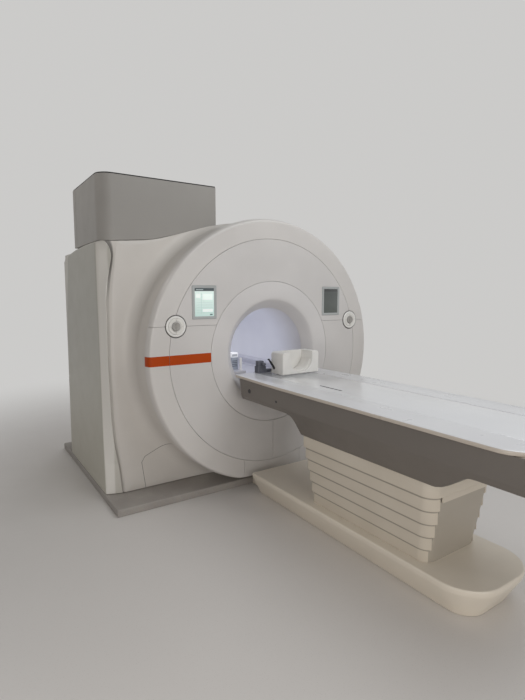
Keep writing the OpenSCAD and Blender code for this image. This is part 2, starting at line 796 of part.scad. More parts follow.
// Deep dark frame: one cross-section, cut by the side view, hollow above the pedestal.
module table_frame() {
  floor_z = shelf_body_low - seat;
  color("#6f6a66") difference() {
    intersection() {
      along_y(table_foot + 10, frame_head + 10) polygon(frame_section(0));
      along_x(-400, 400) polygon(concat(
        [[frame_head, shelf_low], [frame_head, table_height - 36], [frame_head - 18, table_height - 173]],
        [for (p = head_curve) [ped_head + p[0], table_height - p[1]]],
        [[ped_head, frame_floor], [ped_foot, frame_floor]],
        [for (p = foot_curve) [table_foot + p[0], table_height - p[1]]],
        [[table_foot + 10, shelf_low]]));
    }
    // tray for the shelf, open at the head end for the channel
    block([-frame_half + frame_wall, table_foot + 30, floor_z],
          [frame_half - frame_wall, frame_head - 12, table_height]);
    block([-channel_half - 21, frame_head - 20, floor_z], [channel_half + 21, frame_head + 1, table_height]);
    // hollow for the lift and the end panel
    intersection() {
      along_y(table_foot + 370, ped_head - 7.5) polygon([
        [-frame_half + 12, floor_z - frame_wall], [-frame_half + 12, frame_crease + 2],
        [-ped_half + 7.5, frame_floor + 12], [-ped_half + 7.5, frame_floor - 10],
        [ped_half - 7.5, frame_floor - 10], [ped_half - 7.5, frame_floor + 12],
        [frame_half - 12, frame_crease + 2], [frame_half - 12, floor_z - frame_wall]]);
      along_x(-400, 400) polygon([
        [ped_head - 7.5, frame_floor - 25], [ped_head - 7.5, shelf_low], [table_foot + 370, shelf_low],
        [table_foot + 370, frame_floor + 115], [table_foot + 460, frame_floor + 55],
        [ped_foot - 8, frame_floor + 15], [ped_foot + 7.5, frame_floor + 15], [ped_foot + 7.5, frame_floor - 25]]);
    }
  }
}

// Wide shelf with a channel for the board; its edge stands over the frame.
module table_shelf() {
  half = shelf_width / 2;
  color("#e9e9ea") difference() {
    union() {
      intersection() {
        translate([0, 0, shelf_low]) linear_extrude(table_height - shelf_low) union() {
          translate([-half, table_foot + 150]) square([2 * half, table_head - table_foot - 150]);
          translate([-half + 150, table_foot]) square([2 * half - 300, 200]);
          for (s = [-1, 1]) translate([s * (half - 150), table_foot + 150]) circle(r = 150);
        }
        // the head end narrows a little
        linear_extrude(2000) polygon([[-half, table_foot - 10], [-half, -1500], [-half + 23, table_head],
          [half - 23, table_head], [half, -1500], [half, table_foot - 10]]);
      }
      block([-frame_half + frame_wall + 1, table_foot + 31, shelf_body_low],
            [frame_half - frame_wall - 1, frame_head - 13, shelf_low + 1]);
      block([-channel_half - 20, frame_head - 14, shelf_body_low],
            [channel_half + 20, table_head - 20, shelf_low + 1]);
    }
    difference() {
      block([-channel_half, board_foot - 2, channel_floor], [channel_half, table_head + 10, table_height + 60]);
      for (x = [-rail_x, rail_x]) block([x - 10, board_foot - 10, channel_floor - 1], [x + 10, table_head + 20, rail_top]);
    }
    // bevel under the edge
    both_sides() translate([half, 0, shelf_low]) rotate([0, 45, 0]) cube([8, 7000, 8], center = true);
  }
}

module table_sockets() {
  color("#262423") {
    translate([-frame_half - seat, table_head - 211, frame_crease + 51]) rotate([0, -90, 0]) difference() {
      cylinder(r = 15, h = 3);
      translate([0, 0, 1]) cylinder(r = 9, h = 5);
    }
    translate([-frame_half - seat, table_head - 543, frame_crease + 35]) rotate([0, -90, 0]) cylinder(r = 9, h = 2);
  }
}

module sliding_board() {
  half = board_width / 2;
  color("#eff0f2") difference() {
    block([-half, board_foot, board_low], [half, table_head, table_height]);
    both_sides() translate([half, 0, table_height]) rotate([0, 45, 0]) cube([5, 7000, 5], center = true);
    // grip slot
    block([-131, table_head - 915, table_height - 6], [-119, table_head - 705, table_height + 1]);
  }
}

coil_left = -100;
coil_right = 250;
coil_rear = table_head - 95;
coil_front = coil_rear - 158;
coil_mid = 75;
coil_low = table_height + seat;
coil_top = table_height + 169;

// Lower half of the head coil: block with a U-shaped cradle, closed by a wall at the head end.
module head_coil() {
  color("#e3e0d8") difference() {
    along_y(coil_front, coil_rear) polygon([
      [coil_left, coil_low], [coil_left, coil_top - 22], [coil_left + 6, coil_top - 8], [coil_left + 18, coil_top],
      [coil_right - 18, coil_top], [coil_right - 6, coil_top - 8], [coil_right, coil_top - 22],
      [coil_right, coil_low]]);
    bar_y(coil_mid, table_height + 122, 111, coil_front - 1, coil_rear - 24);
    block([coil_mid - 111, coil_front - 1, table_height + 122], [coil_mid + 111, coil_rear - 24, coil_top + 10]);
    translate([0, coil_rear, coil_top]) rotate([45, 0, 0]) cube([1000, 14, 14], center = true);
  }
}

// Clamp lever on the coil's left side, turning about its lower end.
module coil_lever() {
  color("#3a3836") translate([coil_left - seat, coil_rear - 50, table_height + 44]) rotate([0, -90, 0]) {
    cylinder(r = 9, h = 9);
    linear_extrude(7) polygon([[-5, -6], [5, 6], [58, 74], [54, 84], [44, 82], [-9, 4]]);
  }
}

// Plugs at the board's head end.
module coil_connectors() {
  z0 = table_height + seat;
  color("#4d515c") {
    block([-198, table_head - 65, z0], [-120, table_head - 10, z0 + 52]);
    block([-190, table_head - 60, z0 + 51], [-140, table_head - 15, z0 + 92]);
    bar_y(-156, z0 + 70, 13, table_head - 95, table_head - 55);
    block([-118.5, table_head - 55, z0], [-60, table_head - 21, z0 + 24]);
    block([-121, table_head - 50, z0 + 4], [-117, table_head - 25, z0 + 20]);
  }
}

plinth();
magnet_vessel();
gradient_coil();
body_coil();
bore_tube();
bore_bed();
dock_box();
cover_carrier();
rim_upper();
rim_left();
rim_right();
rim_bottom();
cover_upper();
cover_left();
cover_right();
front_funnel();
body_cover();
access_panels();
wing_left();
wing_right();
top_cover();
rear_cover();
column_front();
column_rear();
column_gasket();
cold_head();
quench_pipe();
stripe_band();
display_frames();
display_left();
display_right();
control_housings();
knob_left();
knob_right();
key_left_a();
key_left_b();
key_left_c();
key_left_d();
key_right_a();
key_right_b();
key_right_c();
key_right_d();
base_plate();
lift_tube();
lift_ram();
lamella_1();
lamella_2();
lamella_3();
lamella_4();
lamella_5();
lamella_6();
end_panel();
table_frame();
table_shelf();
table_sockets();
sliding_board();
head_coil();
coil_lever();
coil_connectors();
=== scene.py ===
import bpy
import bmesh
import math
import numpy as np
from mathutils import Matrix, Vector, geometry


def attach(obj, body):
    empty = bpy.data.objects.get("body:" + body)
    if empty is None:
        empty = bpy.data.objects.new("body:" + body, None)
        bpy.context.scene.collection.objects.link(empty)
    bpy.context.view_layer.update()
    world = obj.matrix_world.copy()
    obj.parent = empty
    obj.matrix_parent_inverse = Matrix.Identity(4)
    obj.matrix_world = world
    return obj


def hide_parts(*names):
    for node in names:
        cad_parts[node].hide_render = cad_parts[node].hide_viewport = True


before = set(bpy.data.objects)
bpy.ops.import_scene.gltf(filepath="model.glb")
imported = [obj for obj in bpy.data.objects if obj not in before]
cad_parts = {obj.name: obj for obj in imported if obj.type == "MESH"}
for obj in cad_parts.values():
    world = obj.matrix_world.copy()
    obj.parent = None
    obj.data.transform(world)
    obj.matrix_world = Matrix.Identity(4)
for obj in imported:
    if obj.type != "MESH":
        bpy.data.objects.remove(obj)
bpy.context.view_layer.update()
scene = bpy.context.scene
tau = 2 * math.pi

# places that several pieces share, in metres
axisHeight = 1.09  # middle of the bore
faceY = -0.93      # front face of the disc
bodyY = -0.5885    # front face of the body behind the disc
splitZ = 1.323     # seam between the upper and lower covers, through the controls
onAxis = (0, 0, axisHeight)


# A node socket that takes arithmetic. addNode makes any node: its settings first, then its sockets.
class Sock:
    def __init__(self, tree, out):
        self.tree = tree
        self.out = out

    def addNode(self, kind, sockets, out=0, **settings):
        node = self.tree.nodes.new(kind)
        for key, value in settings.items():
            setattr(node, key, value)
        for key, value in sockets.items():
            if isinstance(value, Sock):
                self.tree.links.new(value.out, node.inputs[key])
            else:
                node.inputs[key].default_value = value
        return Sock(self.tree, node.outputs[out])

    def math(self, operation, *others):
        return self.addNode("ShaderNodeMath", dict(enumerate((self, *others))), operation=operation)

    def __add__(self, o): return self.math("ADD", o)
    def __radd__(self, o): return self.math("ADD", o)
    def __sub__(self, o): return self.math("SUBTRACT", o)
    def __rsub__(self, o): return (self * -1.0).math("ADD", o)
    def __mul__(self, o): return self.math("MULTIPLY", o)
    def __rmul__(self, o): return self.math("MULTIPLY", o)
    def __truediv__(self, o): return self.math("DIVIDE", o)
    def abs(self): return self.math("ABSOLUTE")
    def below(self, o): return self.math("MINIMUM", o)
    def above(self, o): return self.math("MAXIMUM", o)

    # 0 below low, 1 above high, smooth between
    def step(self, low, high):
        return self.addNode("ShaderNodeMapRange", {0: self, 1: low, 2: high}, interpolation_type="SMOOTHSTEP")

    # value a where this is 0, value b where it is 1
    def mixValue(self, a, b): return a + (b - a) * self

    # colour a where this is 0, colour b where it is 1
    def mix(self, a, b):
        a, b = (c if isinstance(c, Sock) else (*c, 1.0) for c in (a, b))
        return self.addNode("ShaderNodeMix", {0: self, 6: a, 7: b}, 2, data_type="RGBA")


# One procedural material on the Principled shader, with x, y, z of the Object coordinates.
class Paint:
    def __init__(self, name, roughness=0.5, metallic=0.0, coat=0.0, coatRoughness=0.1, specular=0.5):
        self.mat = bpy.data.materials.new(name)
        self.mat.use_nodes = True
        self.tree = self.mat.node_tree
        self.shader = next(n for n in self.tree.nodes if n.type == "BSDF_PRINCIPLED")
        for socket, value in (("Roughness", roughness), ("Metallic", metallic), ("Coat Weight", coat),
                              ("Coat Roughness", coatRoughness), ("Specular IOR Level", specular)):
            self.shader.inputs[socket].default_value = value
        self.at = Sock(self.tree, None).addNode("ShaderNodeTexCoord", {}, "Object")
        parts = self.at.addNode("ShaderNodeSeparateXYZ", {0: self.at}).out.node.outputs
        self.x, self.y, self.z = (Sock(self.tree, parts[i]) for i in range(3))

    def noise(self, scale, detail=2.0, stretch=None):
        place = self.at
        if stretch:
            place = self.at.addNode("ShaderNodeMapping", {"Vector": self.at, "Scale": stretch})
        return self.at.addNode("ShaderNodeTexNoise", {"Vector": place, "Scale": scale, "Detail": detail},
                               "Fac")

    def cloud(self, scale=2.1, detail=3.0):
        return self.noise(scale, detail).step(0.3, 0.7)

    def speckle(self, scale):
        return self.at.addNode("ShaderNodeTexVoronoi", {"Vector": self.at, "Scale": scale}, "Distance")

    def feed(self, socket, value):
        self.tree.links.new(value.out, self.shader.inputs[socket])

    def color(self, value): self.feed("Base Color", value)
    def rough(self, value): self.feed("Roughness", value)

    def glow(self, value, strength):
        self.feed("Emission Color", value)
        self.shader.inputs["Emission Strength"].default_value = strength

    def bump(self, height, distance):
        self.feed("Normal", self.at.addNode("ShaderNodeBump", {"Height": height, "Strength": 1.0,
                                                               "Distance": distance}))


def darker(c, k):
    return tuple(v * k for v in c)


# Surface of a moulded satin cover: a trace of handling wear in the gloss, fine orange peel.
def satinTouch(p, roughness, grain=420.0):
    p.rough(p.noise(9.0, 3.0).step(0.25, 0.8) * 0.09 + (roughness - 0.04))
    p.bump(p.noise(grain), 0.00012)
    return p.mat


# Plain satin cover, faintly cloudy.
def satin(name, color, roughness, coat=0.12, grain=420.0, specular=0.5):
    p = Paint(name, roughness, coat=coat, coatRoughness=0.25, specular=specular)
    p.color(p.cloud().mix(darker(color, 0.965), darker(color, 1.035)))
    return satinTouch(p, roughness, grain)


def metal(name, color, roughness):
    p = Paint(name, roughness, metallic=1.0)
    lines = p.noise(60.0, 3.0, stretch=(1.0, 1.0, 18.0))
    p.color(lines.step(0.3, 0.7).mix(darker(color, 0.88), color))
    p.rough(lines * 0.2 + (roughness - 0.1))
    p.bump(lines, 0.0001)
    return p.mat


# Bore liner: cool white, painted bluer and glowing deeper in: painted light of the lamps that run along the
# tube.
def boreLiner():
    p = Paint("boreLiner", 0.33, coat=0.3, coatRoughness=0.2)
    # painted light: deeper in, the colour turns bluer and the glow grows
    depth = (p.y + 0.90).step(0.0, 0.42)
    p.color(depth.mix((0.62, 0.605, 0.605), p.cloud(3.0, 2.0).mix((0.64, 0.645, 0.69), (0.68, 0.685, 0.725))))
    p.glow(depth.mix((0.10, 0.095, 0.095), (0.36, 0.37, 0.43)), 0.28)
    p.bump(p.noise(300.0), 0.0001)
    return p.mat


# Sheet flooring turned over the plinth: grey with fine flecks in two sizes.
def vinyl():
    p = Paint("plinthVinyl", 0.55)
    flecks = p.speckle(260.0).step(0.12, 0.3)
    coarse = p.speckle(90.0).step(0.08, 0.2)
    base = p.cloud(5.0, 4.0).mix((0.31, 0.285, 0.265), (0.36, 0.335, 0.31))
    p.color(flecks.mix((0.22, 0.20, 0.185), coarse.mix((0.43, 0.405, 0.38), base)))
    p.bump(p.noise(240.0, 3.0), 0.0003)
    return p.mat


# plain satin finishes: name, colour, roughness and what differs from the usual
finishes = dict(
    face=("faceCover", (0.645, 0.625, 0.612), 0.40),
    rim=("rimCover", (0.655, 0.632, 0.612), 0.36),
    funnel=("funnelCover", (0.665, 0.645, 0.638), 0.38),
    # column colour darkened as painted shade, for the shade near the ceiling
    column=("columnPaint", (0.335, 0.32, 0.30), 0.5, dict(grain=300.0)),
    orange=("orangeFilm", (0.46, 0.062, 0.006), 0.42, dict(coat=0.0, specular=0.15)),
    bezel=("displayBezel", (0.43, 0.45, 0.45), 0.35),
    key=("controlKey", (0.78, 0.765, 0.73), 0.3),
    knob=("controlKnob", (0.37, 0.355, 0.335), 0.33),
    bed=("boreBed", (0.60, 0.60, 0.66), 0.36),
    base=("baseCream", (0.78, 0.715, 0.615), 0.40),
    # end panel cream darkened as painted shade
    panel=("panelCream", (0.44, 0.40, 0.34), 0.42),
    taupe=("frameTaupe", (0.170, 0.152, 0.136), 0.40),
    coil=("coilShell", (0.78, 0.765, 0.735), 0.42),
    dark=("darkTrim", (0.035, 0.035, 0.038), 0.4),
    plug=("plugGrey", (0.10, 0.105, 0.13), 0.38),
    vessel=("vesselPaint", (0.58, 0.57, 0.55), 0.5),
    resin=("castResin", (0.08, 0.085, 0.1), 0.5),
    laminate=("coilLaminate", (0.42, 0.34, 0.14), 0.4),
    lift=("liftPaint", (0.22, 0.235, 0.25), 0.45),
    rubber=("gasketFoam", (0.03, 0.029, 0.028), 0.8, dict(coat=0.0)))
mats = {key: satin(name, color, roughness, **(more[0] if more else {}))
        for key, (name, color, roughness, *more) in finishes.items()}
mats["carrier"] = metal("carrierPlate", (0.55, 0.55, 0.56), 0.4)
mats["steel"] = metal("steelFittings", (0.58, 0.59, 0.61), 0.3)
mats["bore"] = boreLiner()
mats["vinyl"] = vinyl()
print("materials", len(mats))


# Object from a shape, which is a pair of points and faces: normals turned outward, smooth with sharp edges
# over the angle, rounded by a bevel where one is asked for, riding on its body.
def addPiece(name, shape, mat, body=None, nodes="", bevel=0.0, angle=38):
    mesh = bpy.data.meshes.new(name)
    mesh.from_pydata(np.asarray(shape[0], float).tolist(), [], [tuple(int(i) for i in f) for f in shape[1]])
    work = bmesh.new()
    work.from_mesh(mesh)
    bmesh.ops.remove_doubles(work, verts=work.verts, dist=2e-6)
    bmesh.ops.dissolve_degenerate(work, edges=work.edges, dist=2e-6)
    bmesh.ops.recalc_face_normals(work, faces=work.faces)
    work.to_mesh(mesh)
    work.free()
    mesh.materials.append(mats[mat])
    mesh.polygons.foreach_set("use_smooth", [True] * len(mesh.polygons))
    mesh.set_sharp_from_angle(angle=math.radians(angle))
    obj = bpy.data.objects.new(name, mesh)
    scene.collection.objects.link(obj)
    if bevel:
        mod = obj.modifiers.new("edges", "BEVEL")
        mod.width = bevel
        mod.segments = 3
        mod.limit_method = "ANGLE"
        mod.angle_limit = math.radians(angle)
        mod.harden_normals = True
    if body:
        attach(obj, body)
    if nodes:
        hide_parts(*nodes.split())
    return obj


# Quads between the neighbours of a grid of points, closed round either way, with flat ends if asked for.
def gridFaces(rows, cols, wrapRows=False, wrapCols=False, caps=False):
    i, j = np.meshgrid(np.arange(rows - (not wrapRows)), np.arange(cols - (not wrapCols)), indexing="ij")
    here, after, right = i * cols, (i + 1) % rows * cols, (j + 1) % cols
    faces = np.stack([here + j, here + right, after + right, after + j], 2).reshape(-1, 4).tolist()
    if caps:
        faces += [list(range(cols))[::-1], list(range((rows - 1) * cols, rows * cols))]
    return faces


def surface(grid, **wraps):
    grid = np.asarray(grid, float)
    return grid.reshape(-1, 3), gridFaces(*grid.shape[:2], **wraps)


# Closed loops of equal length laid one after another, with flat end faces.
def loft(loops):
    return surface(loops, wrapCols=True, caps=True)


def joined(*shells):
    verts, faces, start = [], [], 0
    for v, f in shells:
        verts.append(np.asarray(v, float).reshape(-1, 3))
        faces += [tuple(i + start for i in face) for face in f]
        start += len(verts[-1])
    return np.concatenate(verts), faces


# Triangles between two rows of points that run the same way, each next one taken on the row that lags in y.
def zipped(a, b, y):
    faces, i, j = [], 0, 0
    while i < len(a) - 1 or j < len(b) - 1:
        if j == len(b) - 1 or (i < len(a) - 1 and y[a[i + 1]] < y[b[j + 1]]):
            faces.append((a[i], a[i + 1], b[j]))
            i += 1
        else:
            faces.append((a[i], b[j + 1], b[j]))
            j += 1
    return faces


# Outline (u, v) laid where the axis has the value: x takes (y, z), y takes (x, z), z takes (x, y).
def laid(outline, axis, value):
    return np.insert(np.asarray(outline, float), axis, value, axis=1)


def prism(outline, axis, a, b):
    return loft([laid(outline, axis, a), laid(outline, axis, b)])


def boxShell(low, high):
    (x0, y0, z0), (x1, y1, z1) = low, high
    return prism([(x0, y0), (x1, y0), (x1, y1), (x0, y1)], 2, z0, z1)


# Profile of (radius, along) pairs turned about the axis through the place: cos and sin of the angle times the
# radius on the other two axes, sign times along on this one.
def turned(profile, place, count=96, axis=1, sign=1):
    r, along = np.asarray(profile, float).T
    angles = np.arange(count) / count * tau
    parts = [np.outer(np.cos(angles), r), np.outer(np.sin(angles), r)]
    parts.insert(axis, np.broadcast_to(sign * along, (count, len(r))))
    return surface(np.stack(parts, 2) + place, wrapRows=True, wrapCols=True)


# Corner points replaced by arcs of the given radius: the arc touches both sides at r / tan(half angle).
def rounded(points, radii, steps=8):
    points = np.asarray(points, float)
    count = len(points)
    radii = [radii] * count if np.isscalar(radii) else radii
    out = []
    for i in range(count):
        p, r = points[i], radii[i]
        u = points[i - 1] - p
        v = points[(i + 1) % count] - p
        u, v = u / np.linalg.norm(u), v / np.linalg.norm(v)
        half = math.acos(max(-1.0, min(1.0, float(u @ v)))) / 2
        if r <= 0 or half > 1.56:
            out.append([p])
            continue
        reach = r / math.tan(half)
        center = p + (u + v) / np.linalg.norm(u + v) * r / math.sin(half)
        start, end = p + u * reach - center, p + v * reach - center
        a0 = math.atan2(start[1], start[0])
        turn = (math.atan2(end[1], end[0]) - a0 + math.pi) % tau - math.pi
        a = a0 + turn * np.linspace(0, 1, steps + 1)
        out.append(center + r * np.stack([np.cos(a), np.sin(a)], 1))
    return np.concatenate(out)


def roundedBox(x0, y0, x1, y1, radii, steps=8):
    return rounded([(x0, y0), (x1, y0), (x1, y1), (x0, y1)], radii, steps)


# Closed anticlockwise outline moved inward by d along the mean normal of the two sides at each point.
def inset(outline, d):
    outline = np.asarray(outline, float)
    ahead = np.roll(outline, -1, 0) - outline
    ahead = ahead / np.maximum(np.linalg.norm(ahead, axis=1, keepdims=True), 1e-9)
    normal = np.stack([-ahead[:, 1], ahead[:, 0]], 1)
    mean = normal + np.roll(normal, 1, 0)
    mean = mean / np.maximum(np.linalg.norm(mean, axis=1, keepdims=True), 1e-9)
    scale = 1 / np.maximum((mean * normal).sum(1, keepdims=True), 0.4)
    return outline + mean * scale * d


# Smooth curve through the given points (Catmull and Rom), steps points between neighbours.
def smooth(points, steps=8):
    p = np.asarray(points, float)
    p = np.concatenate([[2 * p[0] - p[1]], p, [2 * p[-1] - p[-2]]])
    t = (np.arange(steps) / steps)[:, None]
    a, b, c, d = (p[i:len(p) - 3 + i, None] for i in range(4))
    bend = (2 * a - 5 * b + 4 * c - d) * t * t + (3 * b - a - 3 * c + d) * t ** 3
    curve = 0.5 * (2 * b + (c - a) * t + bend)
    return np.concatenate([curve.reshape(-1, p.shape[1]), p[-2:-1]])


# Arc x = x0 + r cos a, z = z0 + r sin a in the front view.
def arc(r, a0, a1, count, z=axisHeight, x=0.0):
    a = np.linspace(a0, a1, count)
    return np.stack([x + r * np.cos(a), z + r * np.sin(a)], 1)


# Flat plate in the x, z plane: constrained triangles of all the curves, of which the wanted ones are kept,
# then a back and walls along the open edges.
def plate(curves, keep, front, back):
    verts, edges = [], []
    for curve, closed in curves:
        start = len(verts)
        verts += [Vector((float(a), float(b))) for a, b in curve]
        last = len(verts) - start
        edges += [(start + i, start + i + 1) for i in range(last - 1)]
        if closed:
            edges.append((start + last - 1, start))
    points, _, tris, *_ = geometry.delaunay_2d_cdt(verts, edges, [], 0, 1e-7)
    points = np.array([(p.x, p.y) for p in points])
    tris = np.array([t for t in tris if len(t) == 3])
    middle = points[tris].mean(1)
    tris = tris[keep(middle[:, 0], middle[:, 1])]
    a, b, c = (points[tris[:, i]] for i in range(3))
    size = np.abs((b[:, 0] - a[:, 0]) * (c[:, 1] - a[:, 1]) - (b[:, 1] - a[:, 1]) * (c[:, 0] - a[:, 0]))
    tris = tris[size > 1e-10]
    sides = dict.fromkeys((int(i), int(j)) for t in tris for i, j in zip(t, np.roll(t, -1)))
    count = len(points)
    faces = tris.tolist() + (tris[:, ::-1] + count).tolist()
    faces += [(i, i + count, j + count, j) for i, j in sides if (j, i) not in sides]
    return np.concatenate([laid(points, 1, front), laid(points, 1, back)]), faces


# Shell minus other shells, by an exact boolean between helper objects that are then removed.
def carved(shell, *cutters):
    base = addPiece("work", shell, "dark")
    helpers = [addPiece("cutter", cutter, "dark") for cutter in cutters]
    for helper in helpers:
        mod = base.modifiers.new("cut", "BOOLEAN")
        mod.operation = "DIFFERENCE"
        mod.solver = "EXACT"
        mod.object = helper
    bpy.context.view_layer.update()
    result = base.evaluated_get(bpy.context.evaluated_depsgraph_get()).to_mesh()
    verts = np.array([v.co[:] for v in result.vertices])
    faces = [tuple(f.vertices) for f in result.polygons]
    for item in (base, *helpers):
        data = item.data
        bpy.data.objects.remove(item)
        bpy.data.meshes.remove(data)
    return verts, faces


# Front covers: the flat ring between the funnel seam and the ring seam, split at the control height and
# in the middle below, with bites round the controls and windows for the displays.
cover = dict(inner=0.563, outer=0.890, wall=0.018, seam=0.001, bevel=0.0025, dialX=0.838, dialR=0.082,
             displayX=0.6115, displayZ=1.492, displayW=0.198, displayH=0.244)


def frontCovers():
    k = cover
    seam, halfW, halfH = k["seam"], k["displayW"] / 2, k["displayH"] / 2
    curves = [(arc(k["inner"], 0, tau, 181)[:-1], True), (arc(k["outer"], 0, tau, 241)[:-1], True)]
    curves += [(arc(k["dialR"], 0, tau, 65, splitZ, s * k["dialX"])[:-1], True) for s in (-1, 1)]
    windows = [(roundedBox(x - halfW, k["displayZ"] - halfH, x + halfW, k["displayZ"] + halfH, 0.006), True)
               for x in (-k["displayX"], k["displayX"])]

    def ring(x, z):
        r = np.hypot(x, z - axisHeight)
        dial = np.hypot(np.abs(x) - k["dialX"], z - splitZ)
        return (r > k["inner"]) & (r < k["outer"]) & (dial > k["dialR"])

    def upper(x, z):
        inside = (np.abs(np.abs(x) - k["displayX"]) < halfW) & (np.abs(z - k["displayZ"]) < halfH)
        return ring(x, z) & (z > splitZ + seam) & ~inside

    def level(z):
        return np.array([(-1.2, z), (1.2, z)]), False

    addPiece("coverUpper", plate(curves + windows + [level(splitZ + seam)], upper, faceY, faceY + k["wall"]),
             "face", "scanner", "cover_upper", bevel=k["bevel"])
    for s, name in ((-1, "Left"), (1, "Right")):
        lines = [level(splitZ - seam), (np.array([(s * seam, 0), (s * seam, 2)]), False)]
        shape = plate(curves + lines, lambda x, z: ring(x, z) & (z < splitZ - seam) & (s * x > seam),
                      faceY, faceY + k["wall"])
        addPiece("cover" + name, shape, "face", "scanner", "cover_" + name.lower(),
                 bevel=k["bevel"])


frontCovers()
print("front covers")


# Rim pieces: the section (r, y) goes round the axis, x = r cos a, z = axis + r sin a; each row of equal r
# starts and ends at the seam between the covers, at the control's circle or at the foot piece's side, and
# everything stops at the flat foot.
rim = dict(seam=0.892, ledge=0.982, thinBack=-0.912, fullBack=-0.860, backR=1.0395, foot=0.10, footX=0.276)


# Front of the section: rounded seam edge, flat face with a double row at the ledge, then the bend.
def rimSection():
    seam, ledge = rim["seam"], rim["ledge"]
    radii = [*np.arange(seam + 0.005, 0.953, 0.0025), 0.953, 0.967, ledge, ledge, 0.994, 1.006]
    flat = [(r, faceY) for r in radii]
    bend = smooth([(1.016, -0.9299), (1.026, -0.9292), (1.034, -0.926), (1.0395, -0.9195), (1.0435, -0.9095),
                   (1.047, -0.898), (1.0493, -0.886), (1.0497, -0.875), (1.0485, -0.867), (1.045, -0.8612),
                   (1.040, -0.860)], 3)
    edge = [(seam, faceY + 0.0015), (seam + 0.0005, faceY + 0.0005), (seam + 0.0015, faceY)]
    return np.array([*edge, *flat, *bend]), len(edge) + len(flat)


rimFront, rimBend = rimSection()


# Angle at which the part above the seam (or below it, with side -1) starts at radius r.
def rimStart(r, side):
    rise, dialX = splitZ - axisHeight, cover["dialX"]
    dialFar = math.hypot(rise, dialX)
    seamAngle = np.arcsin((rise + side * cover["seam"]) / r)
    c = (r * r + dialFar ** 2 - cover["dialR"] ** 2) / (2 * r * dialFar)
    circleAngle = math.atan2(rise, dialX) + side * np.arccos(np.clip(c, -1, 1))
    return np.where(np.abs(c) < 1, side * np.maximum(side * seamAngle, side * circleAngle), seamAngle)


def rimPiece(ranges, count):
    r, y = rimFront.T
    row = np.arange(len(r))
    thin = (r < rim["ledge"]) | (row == rimBend - 4)
    backR = np.where(thin | (row < rimBend + 6), r, rim["backR"])
    backY = np.where(thin, rim["thinBack"], rim["fullBack"])
    r, y = np.append(r, backR[::-1]), np.append(y, backY[::-1])
    start, end = ranges(r)
    a = start + (end - start) * np.linspace(0, 1, count)[:, None]
    grid = np.stack([r * np.cos(a), np.broadcast_to(y, a.shape), axisHeight + r * np.sin(a)], 2)
    grid[:, :, 2] = np.maximum(grid[:, :, 2], rim["foot"])
    verts, faces = surface(grid, wrapCols=True)
    # ends: each front point is joined to the back point of the same row
    near, far = row[:-1], len(r) - 1 - row[:-1]
    for first in (0, (count - 1) * len(r)):
        faces += (first + np.stack([near, near + 1, far - 1, far], 1)).tolist()
    return verts, faces


def rims():
    def upper(r):
        return rimStart(r, 1), math.pi - rimStart(r, 1)

    def right(r):
        return rimStart(r, -1), -np.arccos((rim["footX"] + cover["seam"]) / r)

    def left(r):
        start, end = right(r)
        return math.pi - start, math.pi - end

    def bottom(r):
        a = np.arccos((rim["footX"] - cover["seam"]) / r)
        return a - math.pi, -a

    for name, ranges, count in (("Upper", upper, 150), ("Left", left, 110), ("Right", right, 110),
                                ("Bottom", bottom, 60)):
        addPiece("rim" + name, rimPiece(ranges, count), "rim", "scanner", "rim_" + name.lower(),
                 angle=50)


rims()
print("rims")


# Funnel: slightly domed ring, a soft crease, then the roll into the bore.
def funnel():
    front = smooth([(0.558, -0.9303), (0.552, -0.9309), (0.532, -0.9326), (0.492, -0.934), (0.452, -0.9334),
                    (0.431, -0.9312), (0.4195, -0.928), (0.411, -0.922), (0.395, -0.9055), (0.378, -0.885),
                    (0.364, -0.868), (0.3545, -0.856), (0.3503, -0.8485)], 5)
    profile = [(0.561, -0.912), (0.561, -0.9275), (0.5605, -0.929), (0.5595, -0.9298), *front,
               (0.364, -0.848), (0.387, -0.87), (0.421, -0.904), (0.431, -0.912)]
    addPiece("frontFunnel", turned(profile, onAxis, 180), "funnel", "scanner", "front_funnel",
             angle=50)


funnel()

# outline of the body in the front view: shoulder from the middle outward, then the flank down
shoulder = [(0.0, 2.136), (0.2, 2.124), (0.387, 2.091), (0.539, 2.048), (0.684, 2.004), (0.870, 1.957),
            (1.06, 1.938)]
flank = [(1.148, 1.82), (1.168, 1.66), (1.182, 1.51), (1.183, 1.2), (1.181, 0.9), (1.174, 0.62), (1.16, 0.41),
         (1.139, 0.22), (1.117, 0.057)]

# inner edge of the wings' lip: height, distance from the middle
wingLip = [(0.057, 1.147), (0.09, 1.149), (0.25, 1.165), (0.45, 1.196), (0.63, 1.210), (1.0, 1.220),
           (1.51, 1.220), (1.66, 1.205), (1.766, 1.184), (1.822, 1.176), (1.864, 1.181), (1.898, 1.195),
           (1.925, 1.216), (1.93, 1.226)]

# The right shoulder dips behind the disc: the dip's share runs from 1 at the front plate to 0 over its
# length, share = (1 + cos(pi t)) / 2, and takes that share of half the height above its foot off the flank
# and the wing.
dip = dict(length=0.36, foot=1.3, top=1.93, corner=1.619)
shoulderRight = shoulder[:3] + [(0.539, 2.040), (0.684, 1.975), (0.870, 1.865), (1.06, 1.706)]


def dipShare(y):
    return 0.5 + 0.5 * np.cos(math.pi * np.clip((np.asarray(y) - bodyY) / dip["length"], 0, 1))


def lowered(z, y):
    return z - np.maximum(np.asarray(z) - dip["foot"], 0) * 0.5 * dipShare(y)


def mirrored(half, skip=1):
    return (half[skip:] * [-1, 1])[::-1]


def outlineHalf(right):
    side = smooth(flank, 6)
    if right:
        side[:, 1] = lowered(side[:, 1], bodyY)
        top, bend = smooth(shoulderRight, 6), [shoulderRight[-1], (1.131, dip["corner"]), side[0]]
    else:
        top, bend = smooth(shoulder, 6), [(1.0, 1.9405), (1.131, 1.934), flank[0]]
    return np.concatenate([top, rounded(bend, [0, 0.02, 0], 5)[1:-1], side])


